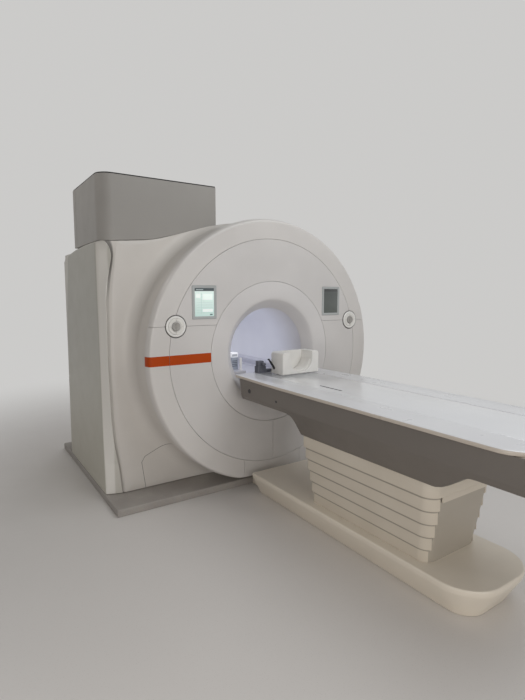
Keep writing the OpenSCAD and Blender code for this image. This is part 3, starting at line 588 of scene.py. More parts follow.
# Front plate of the body with the drum: along each direction the radius runs to the outline's own radius, the
# flare follows r = r0 + R (1 - cos a), y = yBody - R (1 - sin a) until it meets the outline.
body = dict(drumR=1.043, flare=0.09, drop=1.01, narrow=1.06, slot=0.005,
            slotShares=(0.04, 0.10, 0.24, 0.45, 0.72, 1.0),
            drum=((1.0, -0.8597), (1.036, -0.8597), (1.0418, -0.8588), (1.0445, -0.8555), (1.045, -0.85),
                  (1.0442, -0.80), (1.0435, -0.74), (1.043, -0.6785)),
            edge=(0.001, 0.003, 0.0042, 0.0085, 0.0135, 0.0185, 0.0192))


# Distance from the axis to the outline along each direction d: t with t d = p + u s, for the sides s.
def reachOf(loop, ca, sa):
    side = np.roll(loop, -1, 0) - loop
    cross = ca * side[:, 1] - sa * side[:, 0]
    cross = np.where(np.abs(cross) < 1e-12, 1e-12, cross)
    t = (loop[:, 0] * side[:, 1] - loop[:, 1] * side[:, 0]) / cross
    u = (loop[:, 0] * sa - loop[:, 1] * ca) / cross
    return np.where((t > 0.1) & (u > -1e-6) & (u < 1 + 1e-6), t, 0).max(1, keepdims=True)


def bodyCover():
    k = body
    loop = np.concatenate([outlineHalf(True), mirrored(outlineHalf(False))]) - [0, axisHeight]
    angles = np.append(np.linspace(-math.pi, math.pi, 289)[:-1], np.arctan2(loop[:, 1], loop[:, 0]))
    angles = np.unique(np.round(angles, 5))[:, None]
    ca, sa = np.cos(angles), np.sin(angles)
    full = reachOf(loop, ca, sa)
    low = k["drop"] / np.maximum(-sa, 1e-6)
    forward = np.minimum(full, low)
    drumR, drumY = np.array(k["drum"]).T
    widest = np.arccos(np.clip(1 - (full - k["drumR"]) / k["flare"], 0, 1))
    widest = np.where((full <= k["drumR"]) | (low < k["narrow"]), 0.0, widest)
    a = widest * np.linspace(0, 1, 12)[1:]
    flareR = np.minimum(k["drumR"], forward) + k["flare"] * (1 - np.cos(a))
    flareY = bodyY - k["flare"] * (1 - np.sin(a))
    endR, endY = flareR[:, -1:], flareY[:, -1:]
    flat = full - 0.004 > endR
    t = np.array([0.35, 0.7, 1.0])
    frontR = endR + (np.maximum(full - 0.003, endR) - endR) * t
    frontY = endY + (bodyY - endY) * np.where(flat & (widest > 0), 1, t)
    edgeR = np.repeat(full, len(k["edge"]), 1)
    edgeR[:, :1] -= 0.001 * flat
    edgeR[:, -1] = 1.0
    count = len(angles)
    r = np.concatenate([np.minimum(drumR, forward), flareR, frontR, edgeR], 1)
    edgeY = bodyY + np.array(k["edge"])
    y = np.concatenate([np.tile(drumY, (count, 1)), flareY, frontY, np.tile(edgeY, (count, 1))], 1)
    grid = np.stack([r * ca, y, axisHeight + r * sa], 2)
    # beside the wings the edge falls softly into the slot, to 5 mm short of the wing's lip
    x, z = grid[:, -2, 0].copy(), grid[:, -2, 2]
    lipZ, lipX = np.array(wingLip).T
    for s, heights in ((-1, lipZ), (1, lowered(lipZ, bodyY))):
        beside = (s * x > 1.10) & (z < heights[-1] + 0.002)
        room = beside * np.maximum(np.interp(z, heights, lipX) - s * x - k["slot"], 0)
        for column, share in enumerate(k["slotShares"], -7):
            grid[:, column, 0] += s * room * share
    # set-back flange behind the slots
    top = np.concatenate([mirrored(smooth(shoulder, 4)), smooth(shoulderRight, 4)]) - [0, 0.003]
    edge = np.concatenate([top, [(1.13, 1.610), (1.1877, 1.610), (1.1877, 0.057), (-1.1877, 0.057),
                                 (-1.1877, 1.931), (-1.13, 1.931)]])
    opening = turned([(0.0, -0.7), (1.0, -0.7), (1.0, -0.4), (0.0, -0.4)], onAxis)
    flange = carved(prism(edge[::-1], 1, bodyY + 0.0202, bodyY + 0.035), opening)
    addPiece("bodyCover", joined(surface(grid, wrapRows=True, wrapCols=True), flange), "body", "scanner",
             "body_cover access_panels", angle=45)


# Body finish with the cut of the lower panels drawn in: a groove that rises beside the foot, then slopes to
# the drum. The slots beside the wings get painted shade inside, most of all near the top.
def bodyFinish():
    p = Paint("bodyCover", 0.42, coat=0.12, coatRoughness=0.25)
    paint = p.cloud().mix((0.632, 0.603, 0.57), (0.678, 0.647, 0.61))
    side = p.x.abs()
    lowLine = (side - (0.966 + (p.z - 0.058) * 0.1359)).abs()
    highLine = (side - (0.994 - (p.z - 0.264) * 0.6047)).abs() * 0.86
    slope = (p.z - (0.358 - (side - 0.850) * 0.4322)).abs() * 0.92
    upright = p.z.step(0.2635, 0.2645).mixValue(lowLine, highLine)
    inLow = 1.0 - p.z.step(0.3068, 0.3078)
    inSlope = (1.0 - side.step(0.9675, 0.9685)) * side.step(0.60, 0.61)
    upper, lower = 1.0 - slope.step(0.0010, 0.0022), 1.0 - upright.step(0.0010, 0.0022)
    groove = (lower * inLow).above(upper * inSlope)
    # painted shade inside the slots beside the wings, strongest near the top
    slot = p.y.step(bodyY + 0.0075, bodyY + 0.0125) * p.z.step(1.45, 1.80).mixValue(0.22, 0.80)
    p.color(groove.above(slot).mix(paint, (0.07, 0.065, 0.06)))
    return satinTouch(p, 0.42)


mats["body"] = bodyFinish()
bodyCover()
print("body cover")

# Side wing. edge and backEdge give y of the front and rear corner at a height, top and recessTop the height
# of the upper edge at y.
wing = dict(outer=1.262, recess=1.198, inner=1.188, back=0.926, highest=1.93,
            edge=((0.1, 0.466, 1.07, 1.51, 1.9), (-0.548, -0.520, -0.500, -0.484, -0.487)),
            backEdge=((0.1, 0.9, 1.3, 1.5, 1.7, 1.93), (0.620, 0.605, 0.572, 0.537, 0.490, 0.440)),
            top=((-0.7, -0.2, 0.13, 0.33, 0.42, 0.46), (1.93, 1.93, 1.919, 1.902, 1.889, 1.878)),
            recessTop=((0.16, 0.40, 0.926), (1.926, 1.887, 1.868)))


# Plan path at one height: lip, slanting front, corner, side, step in to the recess, back and inner wall. Also
# how many points come before the recess and before the inner wall.
def wingPath(lip, edgeY, backY, pull):
    outer, recess, inner, back = wing["outer"] - pull, wing["recess"], wing["inner"], wing["back"]
    path = [(lip, bodyY + 0.0197), (lip, bodyY + 0.004), (lip + 0.001, bodyY + 0.0012 + pull)]
    path += [*rounded([(lip + 0.004, bodyY + pull), (outer, edgeY), (outer, 0.3)], [0, 0.022, 0], 8)[:-1]]
    path += [(outer, y) for y in np.linspace(-0.44, backY - 0.03, 27)]
    path += [*rounded([(outer, 0.0), (outer, backY), (recess, backY)], [0, 0.018, 0], 7)[1:-1]]
    front = len(path)
    path += [(recess + 0.001, backY), (recess, backY + 0.001)]
    path += [(recess, y) for y in np.linspace(backY + 0.02, 0.9, 8)]
    path += [(recess - 0.002, 0.920), (recess - 0.006, back), (inner, back)]
    inside = len(path)
    path += [(inner, y) for y in (0.86, 0.53, 0.16, *np.linspace(-0.18, -0.54, 10), bodyY + 0.0205)]
    path.append((inner - 0.0005 if lip > inner else lip + 0.001, bodyY + 0.02))
    return np.array(path).T, front, inside


# Wing: the path is laid at each height; both corners lean, the foot and the top edge are rolled, and the
# heights near the top follow the falling upper edge.
def wings():
    k = wing
    lipZ, lipX = smooth(wingLip, 5).T
    # height of each row and how far its roll draws it in
    levels = [(0.057, 0.003), (0.0575, 0.0012)]
    levels += [(z, 0) for z in (0.060, *np.linspace(0.07, 1.80, 40), *np.linspace(1.81, 1.916, 16))]
    levels += [(k["highest"] - drop, pull) for drop, pull in ((0.011, 0), (0.0048, 0.0018), (0.0013, 0.0056),
                                                              (0, 0.011))]
    rows = []
    for level, pull in levels:
        lip = float(np.interp(level, lipZ, lipX)) + (pull if level > 1.5 else 0)
        edgeY, backY = np.interp(level, *k["edge"]), np.interp(level, *k["backEdge"]) - pull
        (x, y), front, inside = wingPath(lip, edgeY, backY, pull)
        top = np.where(np.arange(len(x)) < front, np.interp(y, *k["top"]), np.interp(y, *k["recessTop"]))
        z = level - (k["highest"] - top) * np.clip((level - 1.5) / 0.43, 0, 1)
        rows.append(np.stack([x, y, z], 1))
    verts, faces = surface(rows, wrapCols=True)
    across = len(rows[0])
    last = np.arange(len(verts) - across, len(verts))
    faces += [range(across)[::-1]] + zipped(last[:inside], last[:inside - 1:-1], verts[:, 1])
    for s, name in ((1, "Right"), (-1, "Left")):
        place = verts * [s, 1, 1]
        if s > 0:
            place[:, 2] = lowered(place[:, 2], place[:, 1])
        addPiece("wing" + name, (place, faces), "wing", "scanner", "wing_" + name.lower(),
                 angle=50)


# Covers at the side and the rear: painted light and shade on the wing, its slanting front painted lighter as
# if lit and its outer face painted darker as if in shade, darker higher up.
def wingFinish():
    p = Paint("wingCover", 0.44, coat=0.12, coatRoughness=0.25)
    plain = p.cloud().mix((0.56, 0.54, 0.495), (0.60, 0.58, 0.53))
    slantLit = p.x.abs().step(1.19, 1.205) * (1.0 - p.y.step(-0.53, -0.46))
    side = p.x.abs().step(1.256, 1.2618)
    shade = p.z.step(0.2, 1.5).mix((0.52, 0.50, 0.43), (0.40, 0.39, 0.345))
    # painted highlight on the slanting front, painted shade on the outer face
    p.color(side.mix(slantLit.mix(plain, (0.76, 0.74, 0.70)), shade))
    return satinTouch(p, 0.44)


mats["wing"] = wingFinish()
wings()
print("wings")

rear = dict(front=-0.5532, back=0.9117, sheet=0.022, plate=(0.912, 0.930),
            turret=((-0.7, -0.5, 1.7), (-0.42, 0.08, 2.4)),
            skirt=((1.150, 1.9345), (1.1795, 1.932), (1.1877, 1.926), (1.1877, 1.86), (1.1597, 1.86),
                   (1.1597, 1.9117)))


# Top cover: the body's shoulder curve with a skirt either side, laid at one y after another with the dip's
# share of the right curve, and open over the turrets.
def topCover():
    k = rear

    def half(share):
        top = smooth(np.array(shoulder) * (1 - share) + np.array(shoulderRight) * share, 6)
        skirt = np.array(k["skirt"]) - [0, (dip["top"] - dip["foot"]) * 0.5 * share]
        return np.concatenate([top - [0, 0.0003], skirt, (top[:-1] - [0, k["sheet"]])[::-1]])

    loops = [laid(np.concatenate([half(float(dipShare(y))), mirrored(half(0.0)[:-1])]), 1, y)
             for y in (*np.linspace(k["front"], bodyY + dip["length"], 14), k["back"])]
    addPiece("topCover", carved(loft(loops), boxShell(*k["turret"])), "wing", "scanner", "top_cover",
             bevel=0.003, angle=35)


# Rear cover: a plate under the left shoulder's curve and its mirror image, with a rolled mouth (radius, y)
# round the bore.
def rearCover():
    corner = [(1.150, 1.9325), (1.168, 1.929), (1.1795, 1.915), (1.1877, 1.88), (1.1877, 0.057)]
    half = np.concatenate([smooth(shoulder, 6) - [0, 0.002], corner])
    hole = turned([(0.0, 0.8), (0.421, 0.8), (0.421, 1.0), (0.0, 1.0)], onAxis, 144)
    sheet = carved(prism(np.concatenate([half, mirrored(half)]), 1, *rear["plate"]), hole)
    mouth = turned([(0.350, 0.848), (0.350, 0.8555), (0.3530, 0.866), (0.3605, 0.879), (0.372, 0.893),
                    (0.386, 0.9065), (0.400, 0.918), (0.411, 0.9255), (0.4185, 0.9287), (0.4225, 0.9293),
                    (0.4225, 0.9125), (0.415, 0.905), (0.364, 0.856), (0.364, 0.848)], onAxis, 144)
    addPiece("rearCover", joined(sheet, mouth), "wing", "scanner", "rear_cover", angle=35)


topCover()
rearCover()
print("rear")

band = dict(low=1.0492, high=1.1188, start=0.5635, end=1.006, gap=(0.8908, 0.8932), lift=(0.0004, 0.0010))


# Orange film: rows of equal height whose radius runs over the flat face and then round the rim's bevel.
def stripe():
    k = band
    radii = [*np.linspace(k["start"], k["gap"][0], 24), *np.linspace(k["gap"][1], k["end"], 10)]
    flat = [(r, faceY) for r in radii]
    path = np.array(flat + [(r, y) for r, y in rimFront if r > 1.01 and y < -0.8605])
    ahead = np.gradient(path, axis=0)
    ahead /= np.linalg.norm(ahead, axis=1, keepdims=True)
    normal = np.stack([ahead[:, 1], -ahead[:, 0]], 1)
    shells = []
    for part in (path[:, 0] < rim["seam"], path[:, 0] > rim["seam"]):
        rows = []
        # under side from low to high, upper side back a little narrower
        for lift, heights in ((k["lift"][0], (k["low"], k["high"])),
                              (k["lift"][1], (k["high"] - 0.0002, k["low"] + 0.0002))):
            r, y = (path[part] + normal[part] * lift).T
            rows += [np.stack([-np.sqrt(r * r - (z - axisHeight) ** 2), y, np.full_like(y, z)], 1)
                     for z in heights]
        shells.append(loft(np.array(rows).transpose(1, 0, 2)))
    addPiece("stripeBand", joined(*shells), "orange", "scanner", "stripe_band", angle=60)


stripe()

display = dict(x=0.6115, z=1.492, w=0.197, h=0.243, glassW=0.155, glassH=0.205, glassBack=-0.9237,
               glass=-0.9312)


# share of the glass's height, 0 at its lower edge
def screenHeight(p):
    return (p.z - (display["z"] - display["glassH"] / 2)) / display["glassH"]


# Screen picture in its own coordinates u, v from 0 to 1: thin rules and pale fields under a dark title bar.
def screenLit():
    p = Paint("screenLit", 0.12, coat=0.8, coatRoughness=0.05)
    u = (p.x + (display["x"] + display["glassW"] / 2)) / display["glassW"]
    v = screenHeight(p)

    def between(value, low, high, soft=0.006):
        return value.step(low - soft, low + soft) * (1.0 - value.step(high - soft, high + soft))

    def field(u0, u1, v0, v1):
        return between(u, u0, u1) * between(v, v0, v1)

    rules = between((v * 11.0).math("FRACT"), 0.42, 0.50, 0.02) * field(0.08, 0.92, 0.12, 0.80) * 0.35
    picture = v.mix((0.50, 0.66, 0.62), (0.66, 0.76, 0.72))
    for mask, color in ((rules, (0.20, 0.32, 0.30)), (field(0.33, 0.345, 0.1, 0.84), (0.42, 0.58, 0.54)),
                        (field(0.06, 0.29, 0.66, 0.80), (0.80, 0.88, 0.84)),
                        (field(0.40, 0.93, 0.58, 0.80), (0.76, 0.86, 0.82)),
                        (field(0.40, 0.93, 0.16, 0.26), (0.78, 0.87, 0.84)),
                        (field(0.78, 0.92, 0.035, 0.085), (0.10, 0.17, 0.17)),
                        (v.step(0.885, 0.90), (0.045, 0.06, 0.065)),
                        (field(0.07, 0.44, 0.93, 0.955), (0.36, 0.42, 0.42))):
        picture = mask.mix(picture, color)
    p.color(picture)
    p.glow(picture, 0.42)
    return p.mat


def screenDark():
    p = Paint("screenDark", 0.10, coat=1.0, coatRoughness=0.04)
    v = screenHeight(p)
    shade = v.step(0.0, 1.0).mix((0.105, 0.125, 0.115), (0.062, 0.073, 0.07))
    p.color(v.step(0.885, 0.90).mix(shade, (0.03, 0.035, 0.036)))
    return p.mat


mats["screenLit"] = screenLit()
mats["screenDark"] = screenDark()


# Display surround: rounded outline with a raised lip that slopes in to the glass, laid at each depth.
def displays():
    k = display

    def outline(w, h, r, y):
        return laid(roundedBox(-w / 2, -h / 2, w / 2, h / 2, r, 5), 1, y)

    # added to the frame's size, then to the glass's: difference, corner radius, y
    outer = ((0, 0.0065, -0.912), (0, 0.0065, -0.9315), (-0.0012, 0.006, -0.9330), (-0.004, 0.005, -0.9335),
             (-0.010, 0.004, -0.9335))
    inner = ((0.006, 0.003, -0.9322), (0.001, 0.002, -0.9318), (0.001, 0.002, -0.9235),
             (-0.03, 0.002, -0.9235), (-0.03, 0.002, -0.912))
    sections = [outline(k["w"] + d, k["h"] + d, r, y) for d, r, y in outer]
    sections += [outline(k["glassW"] + d, k["glassH"] + d, r, y) for d, r, y in inner]
    glass = [outline(k["glassW"] - d, k["glassH"] - d, 0.003, y) for d, y in
             ((0, k["glassBack"]), (0, k["glass"] + 0.0006), (0.0012, k["glass"]))]
    places = [np.array([x, 0, k["z"]]) for x in (-k["x"], k["x"])]
    shells = [surface(sections + place, wrapRows=True, wrapCols=True) for place in places]
    addPiece("displayFrames", joined(*shells), "bezel", "scanner", "display_frames",
             angle=40)
    for place, name, mat, slotName in ((places[0], "Left", "screenLit", "glass_lit"),
                                       (places[1], "Right", "screenDark", "glass_dark")):
        addPiece("display" + name, loft(glass + place), mat, "scanner", "display_" + name.lower())


displays()

control = dict(x=0.838, bar=(0.0375, 0.0585), barHalf=0.0013, barY=(-0.9345, -0.9255), keyGap=0.0018,
               housing=((0.0, -0.912), (0.080, -0.912), (0.080, -0.9285), (0.0795, -0.9305),
                        (0.0782, -0.9316), (0.0768, -0.9316), (0.0762, -0.9300), (0.0752, -0.9300),
                        (0.0746, -0.9330), (0.0730, -0.9352), (0.0705, -0.936), (0.0640, -0.9362),
                        (0.0605, -0.9358), (0.0588, -0.9345), (0.0583, -0.9330), (0.0583, -0.926),
                        (0.0377, -0.926), (0.0377, -0.9345), (0.0370, -0.9358), (0.0355, -0.936),
                        (0.0330, -0.9355), (0.0322, -0.9340), (0.0322, -0.930), (0.0, -0.930)),
               knob=((0.0, -0.9305), (0.0305, -0.9305), (0.031, -0.931), (0.031, -0.9405), (0.0303, -0.9425),
                     (0.0288, -0.9437), (0.0268, -0.9440), (0.0245, -0.9436), (0.0215, -0.9420),
                     (0.0180, -0.9408), (0.0, -0.9402)),
               key=((0.0382, -0.9292), (0.0382, -0.9365), (0.0390, -0.9376), (0.0402, -0.938),
                    (0.0430, -0.9377), (0.0480, -0.9372), (0.0530, -0.9377), (0.0558, -0.938),
                    (0.0570, -0.9376), (0.0578, -0.9365), (0.0578, -0.9292)))


# Key: quarter ring with a shallow dish, its section (radius, y) swept through 90 degrees less the gap at
# either end, a = -90 n + gap / r + (90 - 2 gap / r) t, the crown a little shorter.
def keyShell(number, place):
    r, y = np.array(control["key"]).T
    t = np.linspace(0, 1, 17)[:, None]
    gap = control["keyGap"] / r * (1 + 0.5 * ((y < -0.9372) & ((t == 0) | (t == 1))))
    a = -number * math.pi / 2 + gap + (math.pi / 2 - 2 * gap) * t
    return loft(np.stack([r * np.cos(a), np.broadcast_to(y, a.shape), r * np.sin(a)], 2) + place)


# Control unit: turned housing with painted shade in its outer groove, bright rolled ring, pocket for the keys
# with four bars across it, and the recess in which the knob sits with its grip and mark.
def controls():
    k = control
    (near, far), half, (front, back) = k["bar"], k["barHalf"], k["barY"]
    grip = boxShell((-0.0032, -0.9445, -0.0205), (0.0032, -0.9398, 0.0205))
    mark = boxShell((-0.0011, -0.9447, 0.011), (0.0011, -0.9444, 0.0195))
    knob = joined(turned(k["knob"], (0, 0, 0)), grip, mark)
    sides = ((np.array([-k["x"], 0, splitZ]), "left"), (np.array([k["x"], 0, splitZ]), "right"))
    shells = [turned(k["housing"], place) for place, side in sides]
    for place, side in sides:
        for a, b in ((-far, -near), (near, far)):
            shells.append(boxShell(place + (a, front, -half), place + (b, back, half)))
            shells.append(boxShell(place + (-half, front, a), place + (half, back, b)))
    addPiece("controlHousings", joined(*shells), "control", "scanner", "control_housings",
             angle=50)
    for place, side in sides:
        addPiece("knob" + side.capitalize(), (knob[0] + place, knob[1]), "knob", "knob_" + side[0],
                 "knob_" + side, bevel=0.0012, angle=45)
        for number, letter in enumerate("abcd"):
            addPiece("key" + side.capitalize() + letter.upper(), keyShell(number, place), "key",
                     "k_" + side + "_" + letter, "key_" + side + "_" + letter, angle=40)


# Control housing finish by radius: painted shade in the groove outside, bright satin ring, dark pocket floor.
def controlFinish():
    p = Paint("controlFinish", 0.22, coat=0.5)
    dx = p.x.abs() - control["x"]
    dz = p.z - splitZ
    r = (dx * dx + dz * dz).math("SQRT")
    groove = r.step(0.0748, 0.0756)
    pocket = r.step(0.0376, 0.0379) * (1.0 - r.step(0.0581, 0.0584)) * p.y.step(-0.934, -0.9335)
    white = p.noise(40.0).mix((0.80, 0.79, 0.765), (0.86, 0.85, 0.83))
    # painted shade in the outer groove
    p.color(groove.above(pocket).mix(white, (0.075, 0.07, 0.066)))
    p.rough(groove * 0.3 + 0.2)
    return p.mat


mats["control"] = controlFinish()
controls()
print("controls")

bed = dict(fit=0.3497, level=0.9407, end=0.846)


# Bore tube turned from (radius, y), and the bed with its channel, a section (x, z) moved along y.
def bore():
    inner = [(0.350, y) for y in (-0.8475, -0.60, -0.3, 0.0, 0.3, 0.60, 0.8475)]
    outer = [(0.360, y) for y in (0.8475, 0.4, 0.0, -0.4, -0.8475)]
    addPiece("boreTube", turned(inner + outer, onAxis, 144), "bore", "scanner", "bore_tube",
             angle=50)
    r, level = bed["fit"], bed["level"]
    a = math.asin((level - axisHeight) / r)
    top = [(math.cos(a) * r, level), (0.212, level), (0.2085, level - 0.0012), (0.207, level - 0.004),
           (0.207, 0.8949), (0.160, 0.8949), (0.160, 0.9009), (0.140, 0.9009), (0.140, 0.8949)]
    section = np.concatenate([arc(r, math.pi - a, tau + a, 61)[1:-1], top, mirrored(np.array(top), 0)])
    addPiece("boreBed", prism(section, 1, -bed["end"], bed["end"]), "bed", "scanner", "bore_bed",
             bevel=0.002, angle=40)


bore()

dock = dict(x=(-0.279, -0.211), y=(-0.735, -0.655), foot=0.941, post=(-0.2235, -0.792, 0.941))


# Coupling dock on the bed's left shoulder: rounded housing with a cap painted as if lit, a window and four
# slots in its front, and a post on a collar before it.
def dockBox():
    (x0, x1), (y0, y1) = dock["x"], dock["y"]
    outline = roundedBox(x0, y0, x1, y1, [0.012, 0.006, 0.006, 0.012], 6)
    housing = ((dock["foot"], 0.0), (1.036, 0.0), (1.038, 0.002), (1.040, 0.002), (1.042, 0.0),
               (1.068, 0.0), (1.074, 0.0018), (1.077, 0.006))
    shells = [loft([laid(inset(outline, d), 2, z) for z, d in housing]),
              boxShell((-0.229, -0.656, 0.941), (-0.213, -0.600, 1.001)),
              boxShell((-0.270, -0.7365, 1.046), (-0.220, -0.7335, 1.066))]
    shells += [boxShell((-0.268, -0.7358, z), (-0.222, -0.7348, z + 0.006))
               for z in (0.965, 0.979, 0.993, 1.007)]
    for profile in ([(0.0, 0.0), (0.0105, 0.0), (0.0105, 0.096), (0.0098, 0.0985), (0.0080, 0.1), (0.0, 0.1)],
                    [(0.0, 0.0), (0.0145, 0.0), (0.0145, 0.006), (0.0135, 0.008), (0.0, 0.008)]):
        shells.append(turned(profile, dock["post"], 32, axis=2))
    addPiece("dockBox", joined(*shells), "dock", "scanner", "dock_box", bevel=0.0015,
             angle=45)


# Dock finish: grey housing with dark slots, painted light on the cap above (bright colour and a faint glow),
# pale post in front.
def dockFinish():
    p = Paint("dockFinish", 0.3, coat=0.3)
    # painted light: the cap above is painted bright and glows faintly
    litCap = p.z.step(1.038, 1.041)
    housing = p.y.step(-0.78, -0.775)
    slots = (1.0 - p.y.step(-0.7351, -0.7350)) * housing
    shade = litCap.mix(housing.mix((0.80, 0.80, 0.82), (0.40, 0.44, 0.52)), (0.88, 0.89, 0.93))
    p.color(slots.mix(shade, (0.12, 0.13, 0.16)))
    p.glow((litCap * housing).mix((0, 0, 0), (0.9, 0.93, 1.0)), 0.3)
    return p.mat


mats["dock"] = dockFinish()
dockBox()

table = dict(head=-0.945, foot=-3.15, half=0.39, headHalf=0.367, taper=-1.5, footR=0.15, headR=0.014,
             channel=((-0.207, -3.052, 0.8949), (0.207, -0.9, 1.0)),
             trough=((-0.359, -3.119, 0.8799), (0.359, -1.033, 0.9185)),
             nose=(-0.227, -1.034, 0.227, -0.965), railX=0.15,
             roll=((0.9182, 0.0075), (0.9190, 0.0045), (0.9205, 0.0020), (0.9230, 0.0004), (0.9255, 0.0),
                   (0.9335, 0.0), (0.9362, 0.0006), (0.9386, 0.0022), (0.9402, 0.0045), (0.9410, 0.0080)))


# Shelf: plan outline with round foot corners, edge rolled by insets at each height, channel cut along it; the
# trough below with its nose, and two rails.
def shelf():
    k = table
    half, headHalf, low, high = k["half"], k["headHalf"], k["trough"][0][2], k["trough"][1][2]
    plan = rounded([(-half, k["foot"]), (half, k["foot"]), (half, k["taper"]), (headHalf, k["head"]),
                    (-headHalf, k["head"]), (-half, k["taper"])],
                   [k["footR"], k["footR"], 0, k["headR"], k["headR"], 0], 14)
    top = loft([laid(inset(plan, d), 2, z) for z, d in k["roll"]])
    nose = prism(roundedBox(*k["nose"], [0, 0, 0.012, 0.012], 6), 2, low, high)
    shells = [carved(part, boxShell(*k["channel"])) for part in (top, boxShell(*k["trough"]), nose)]
    shells += [boxShell((x - 0.01, -3.05, 0.890), (x + 0.01, -0.967, 0.9009))
               for x in (-k["railX"], k["railX"])]
    addPiece("tableShelf", joined(*shells), "shelfTop", "table", "table_shelf", angle=40)


# Shelf finish by height: beige rolled edge below the cool white top.
def shelfFinish():
    p = Paint("shelfTop", 0.30, coat=0.3, coatRoughness=0.18)
    white = p.cloud(1.6).mix((0.735, 0.74, 0.765), (0.785, 0.79, 0.81))
    beige = p.noise(4.0).mix((0.545, 0.485, 0.42), (0.60, 0.54, 0.47))
    p.color(p.z.step(0.9372, 0.9380).mix(beige, white))
    p.rough(p.noise(7.0, 3.0).step(0.2, 0.8) * 0.10 + 0.26)
    p.bump(p.noise(380.0), 0.0001)
    return p.mat


# Board finish: cool white with painted shade in the grip slot and faint wipe marks in the gloss.
def boardFinish():
    p = Paint("boardTop", 0.2, coat=0.6, coatRoughness=0.06)
    white = p.cloud(1.9).mix((0.765, 0.775, 0.80), (0.81, 0.82, 0.845))
    across = (p.x + 0.125).abs().step(0.0061, 0.0066)
    along = (p.y + 1.755).abs().step(0.1052, 0.1060)
    # painted shade: the grip slot is painted near black
    p.color(((1.0 - across) * (1.0 - along)).mix(white, (0.05, 0.052, 0.058)))
    p.rough(p.noise(5.0, 4.0, stretch=(1.0, 0.25, 1.0)).step(0.3, 0.8) * 0.10 + 0.16)
    p.bump(p.noise(380.0), 0.0001)
    return p.mat


# Sliding board: section with rolled upper edges moved along y, closed by a small step inward at both ends,
# with the grip slot cut in.
def board():
    section = roundedBox(-0.205, 0.9012, 0.205, 0.941, [0.003, 0.003, 0.005, 0.005], 5)
    loops = [laid(inset(section, d), 1, y) for y, d in
             ((-3.05, 0.003), (-3.0492, 0.0012), (-3.047, 0.0), (-2.4, 0.0), (-1.7, 0.0), (-0.948, 0.0),
              (-0.9458, 0.0012), (-0.945, 0.003))]
    slot = prism(roundedBox(-0.131, -1.860, -0.119, -1.650, 0.0055, 6), 2, 0.935, 0.95)
    addPiece("slidingBoard", carved(loft(loops), slot), "boardTop", "board", "sliding_board",
             angle=40)


mats["shelfTop"] = shelfFinish()
mats["boardTop"] = boardFinish()
shelf()
board()
print("table top")

keel = dict(half=0.37, crease=0.795, lean=0.588, soft=0.007, wellR=(0.067, 0.067, 0.032, 0.032),
            well=(-0.2625, -2.6425, 0.2625, -1.6425), wellTop=0.8696,
            tray=((-0.360, -3.12, 0.8796), (0.360, -1.032, 0.95)),
            trayHead=((-0.228, -1.05, 0.8796), (0.228, -1.0, 0.95)),
            levels=(0.9177, 0.89, 0.86, 0.83, 0.812, 0.806, 0.801, 0.797, 0.793, 0.789, 0.784, 0.778,
                    0.765, 0.74, 0.71, 0.68, 0.655, 0.64))

# side view of the frame's underside from head to foot: y, z
stepBend = smooth([(-1.572, 0.7678), (-1.596, 0.764), (-1.614, 0.756), (-1.626, 0.742), (-1.633, 0.722),
                   (-1.6358, 0.700)], 4)
footRise = smooth([(-2.70, 0.642), (-2.745, 0.669), (-2.79, 0.700), (-2.82, 0.724), (-2.85, 0.745),
                   (-2.88, 0.757), (-2.91, 0.760)], 4)
underside = [(-1.0200, 0.905), (-1.0212, 0.895), (-1.0375, 0.772), (-1.0395, 0.7685), (-1.043, 0.768),
             (-1.30, 0.768), (-1.545, 0.768), *stepBend, (-1.636, 0.66), (-1.636, 0.627), (-1.638, 0.625),
             (-2.1, 0.625), (-2.64, 0.625), (-2.66, 0.627), *footRise, (-3.0, 0.760), (-3.108, 0.760),
             (-3.120, 0.762), (-3.131, 0.769), (-3.138, 0.782), (-3.140, 0.800)]


# Frame: section with half width w(z) = half - lean s(crease - z), where s(d) = (d + sqrt(d^2 + soft^2)) / 2,
# cut and rolled at the side view's underside and lofted along it, with the well and the tray cut out.
def tableFrame():
    def halfWidth(z):
        d = keel["crease"] - z
        return keel["half"] - keel["lean"] * (d + np.sqrt(d * d + keel["soft"] ** 2)) / 2

    loops = []
    for y, low in underside:
        z = np.maximum(keel["levels"], low + 0.006)
        w = halfWidth(low + 0.006)
        side = [*zip(halfWidth(z), z), (w - 0.0006, low + 0.0035), (w - 0.0024, low + 0.0012),
                (w - 0.006, low), (w * 0.5, low)]
        loops.append(laid(np.concatenate([side, mirrored(np.array(side), 0)]), 1, y))
    well = prism(roundedBox(*keel["well"], keel["wellR"], 6), 2, 0.60, keel["wellTop"])
    tray, trayHead = boxShell(*keel["tray"]), boxShell(*keel["trayHead"])
    addPiece("tableFrame", carved(loft(loops), well, tray, trayHead), "taupe", "table", "table_frame",
             angle=42)


tableFrame()
print("frame")

pedestal = dict(floor=0.625, head=-1.635, foot=-2.65, half=0.27, headR=0.040, footR=0.075, pitch=0.0745,
                height=0.092, step=0.010, wall=0.008, open=0.195, roll=0.0022, count=6)


# Plan of the closed strip at the top, anticlockwise from its foot end.
def closedPlan(half, head, foot, rHead, rFoot):
    corners = rounded([(half, foot), (half, head), (-half, head), (-half, foot)],
                      [rFoot, rHead, rHead, rFoot], 10)
    first = int(np.argmin(np.abs(corners[:, 1] - foot) + np.where(corners[:, 0] < 0, 9, 0)))
    return np.roll(corners, -first, 0)


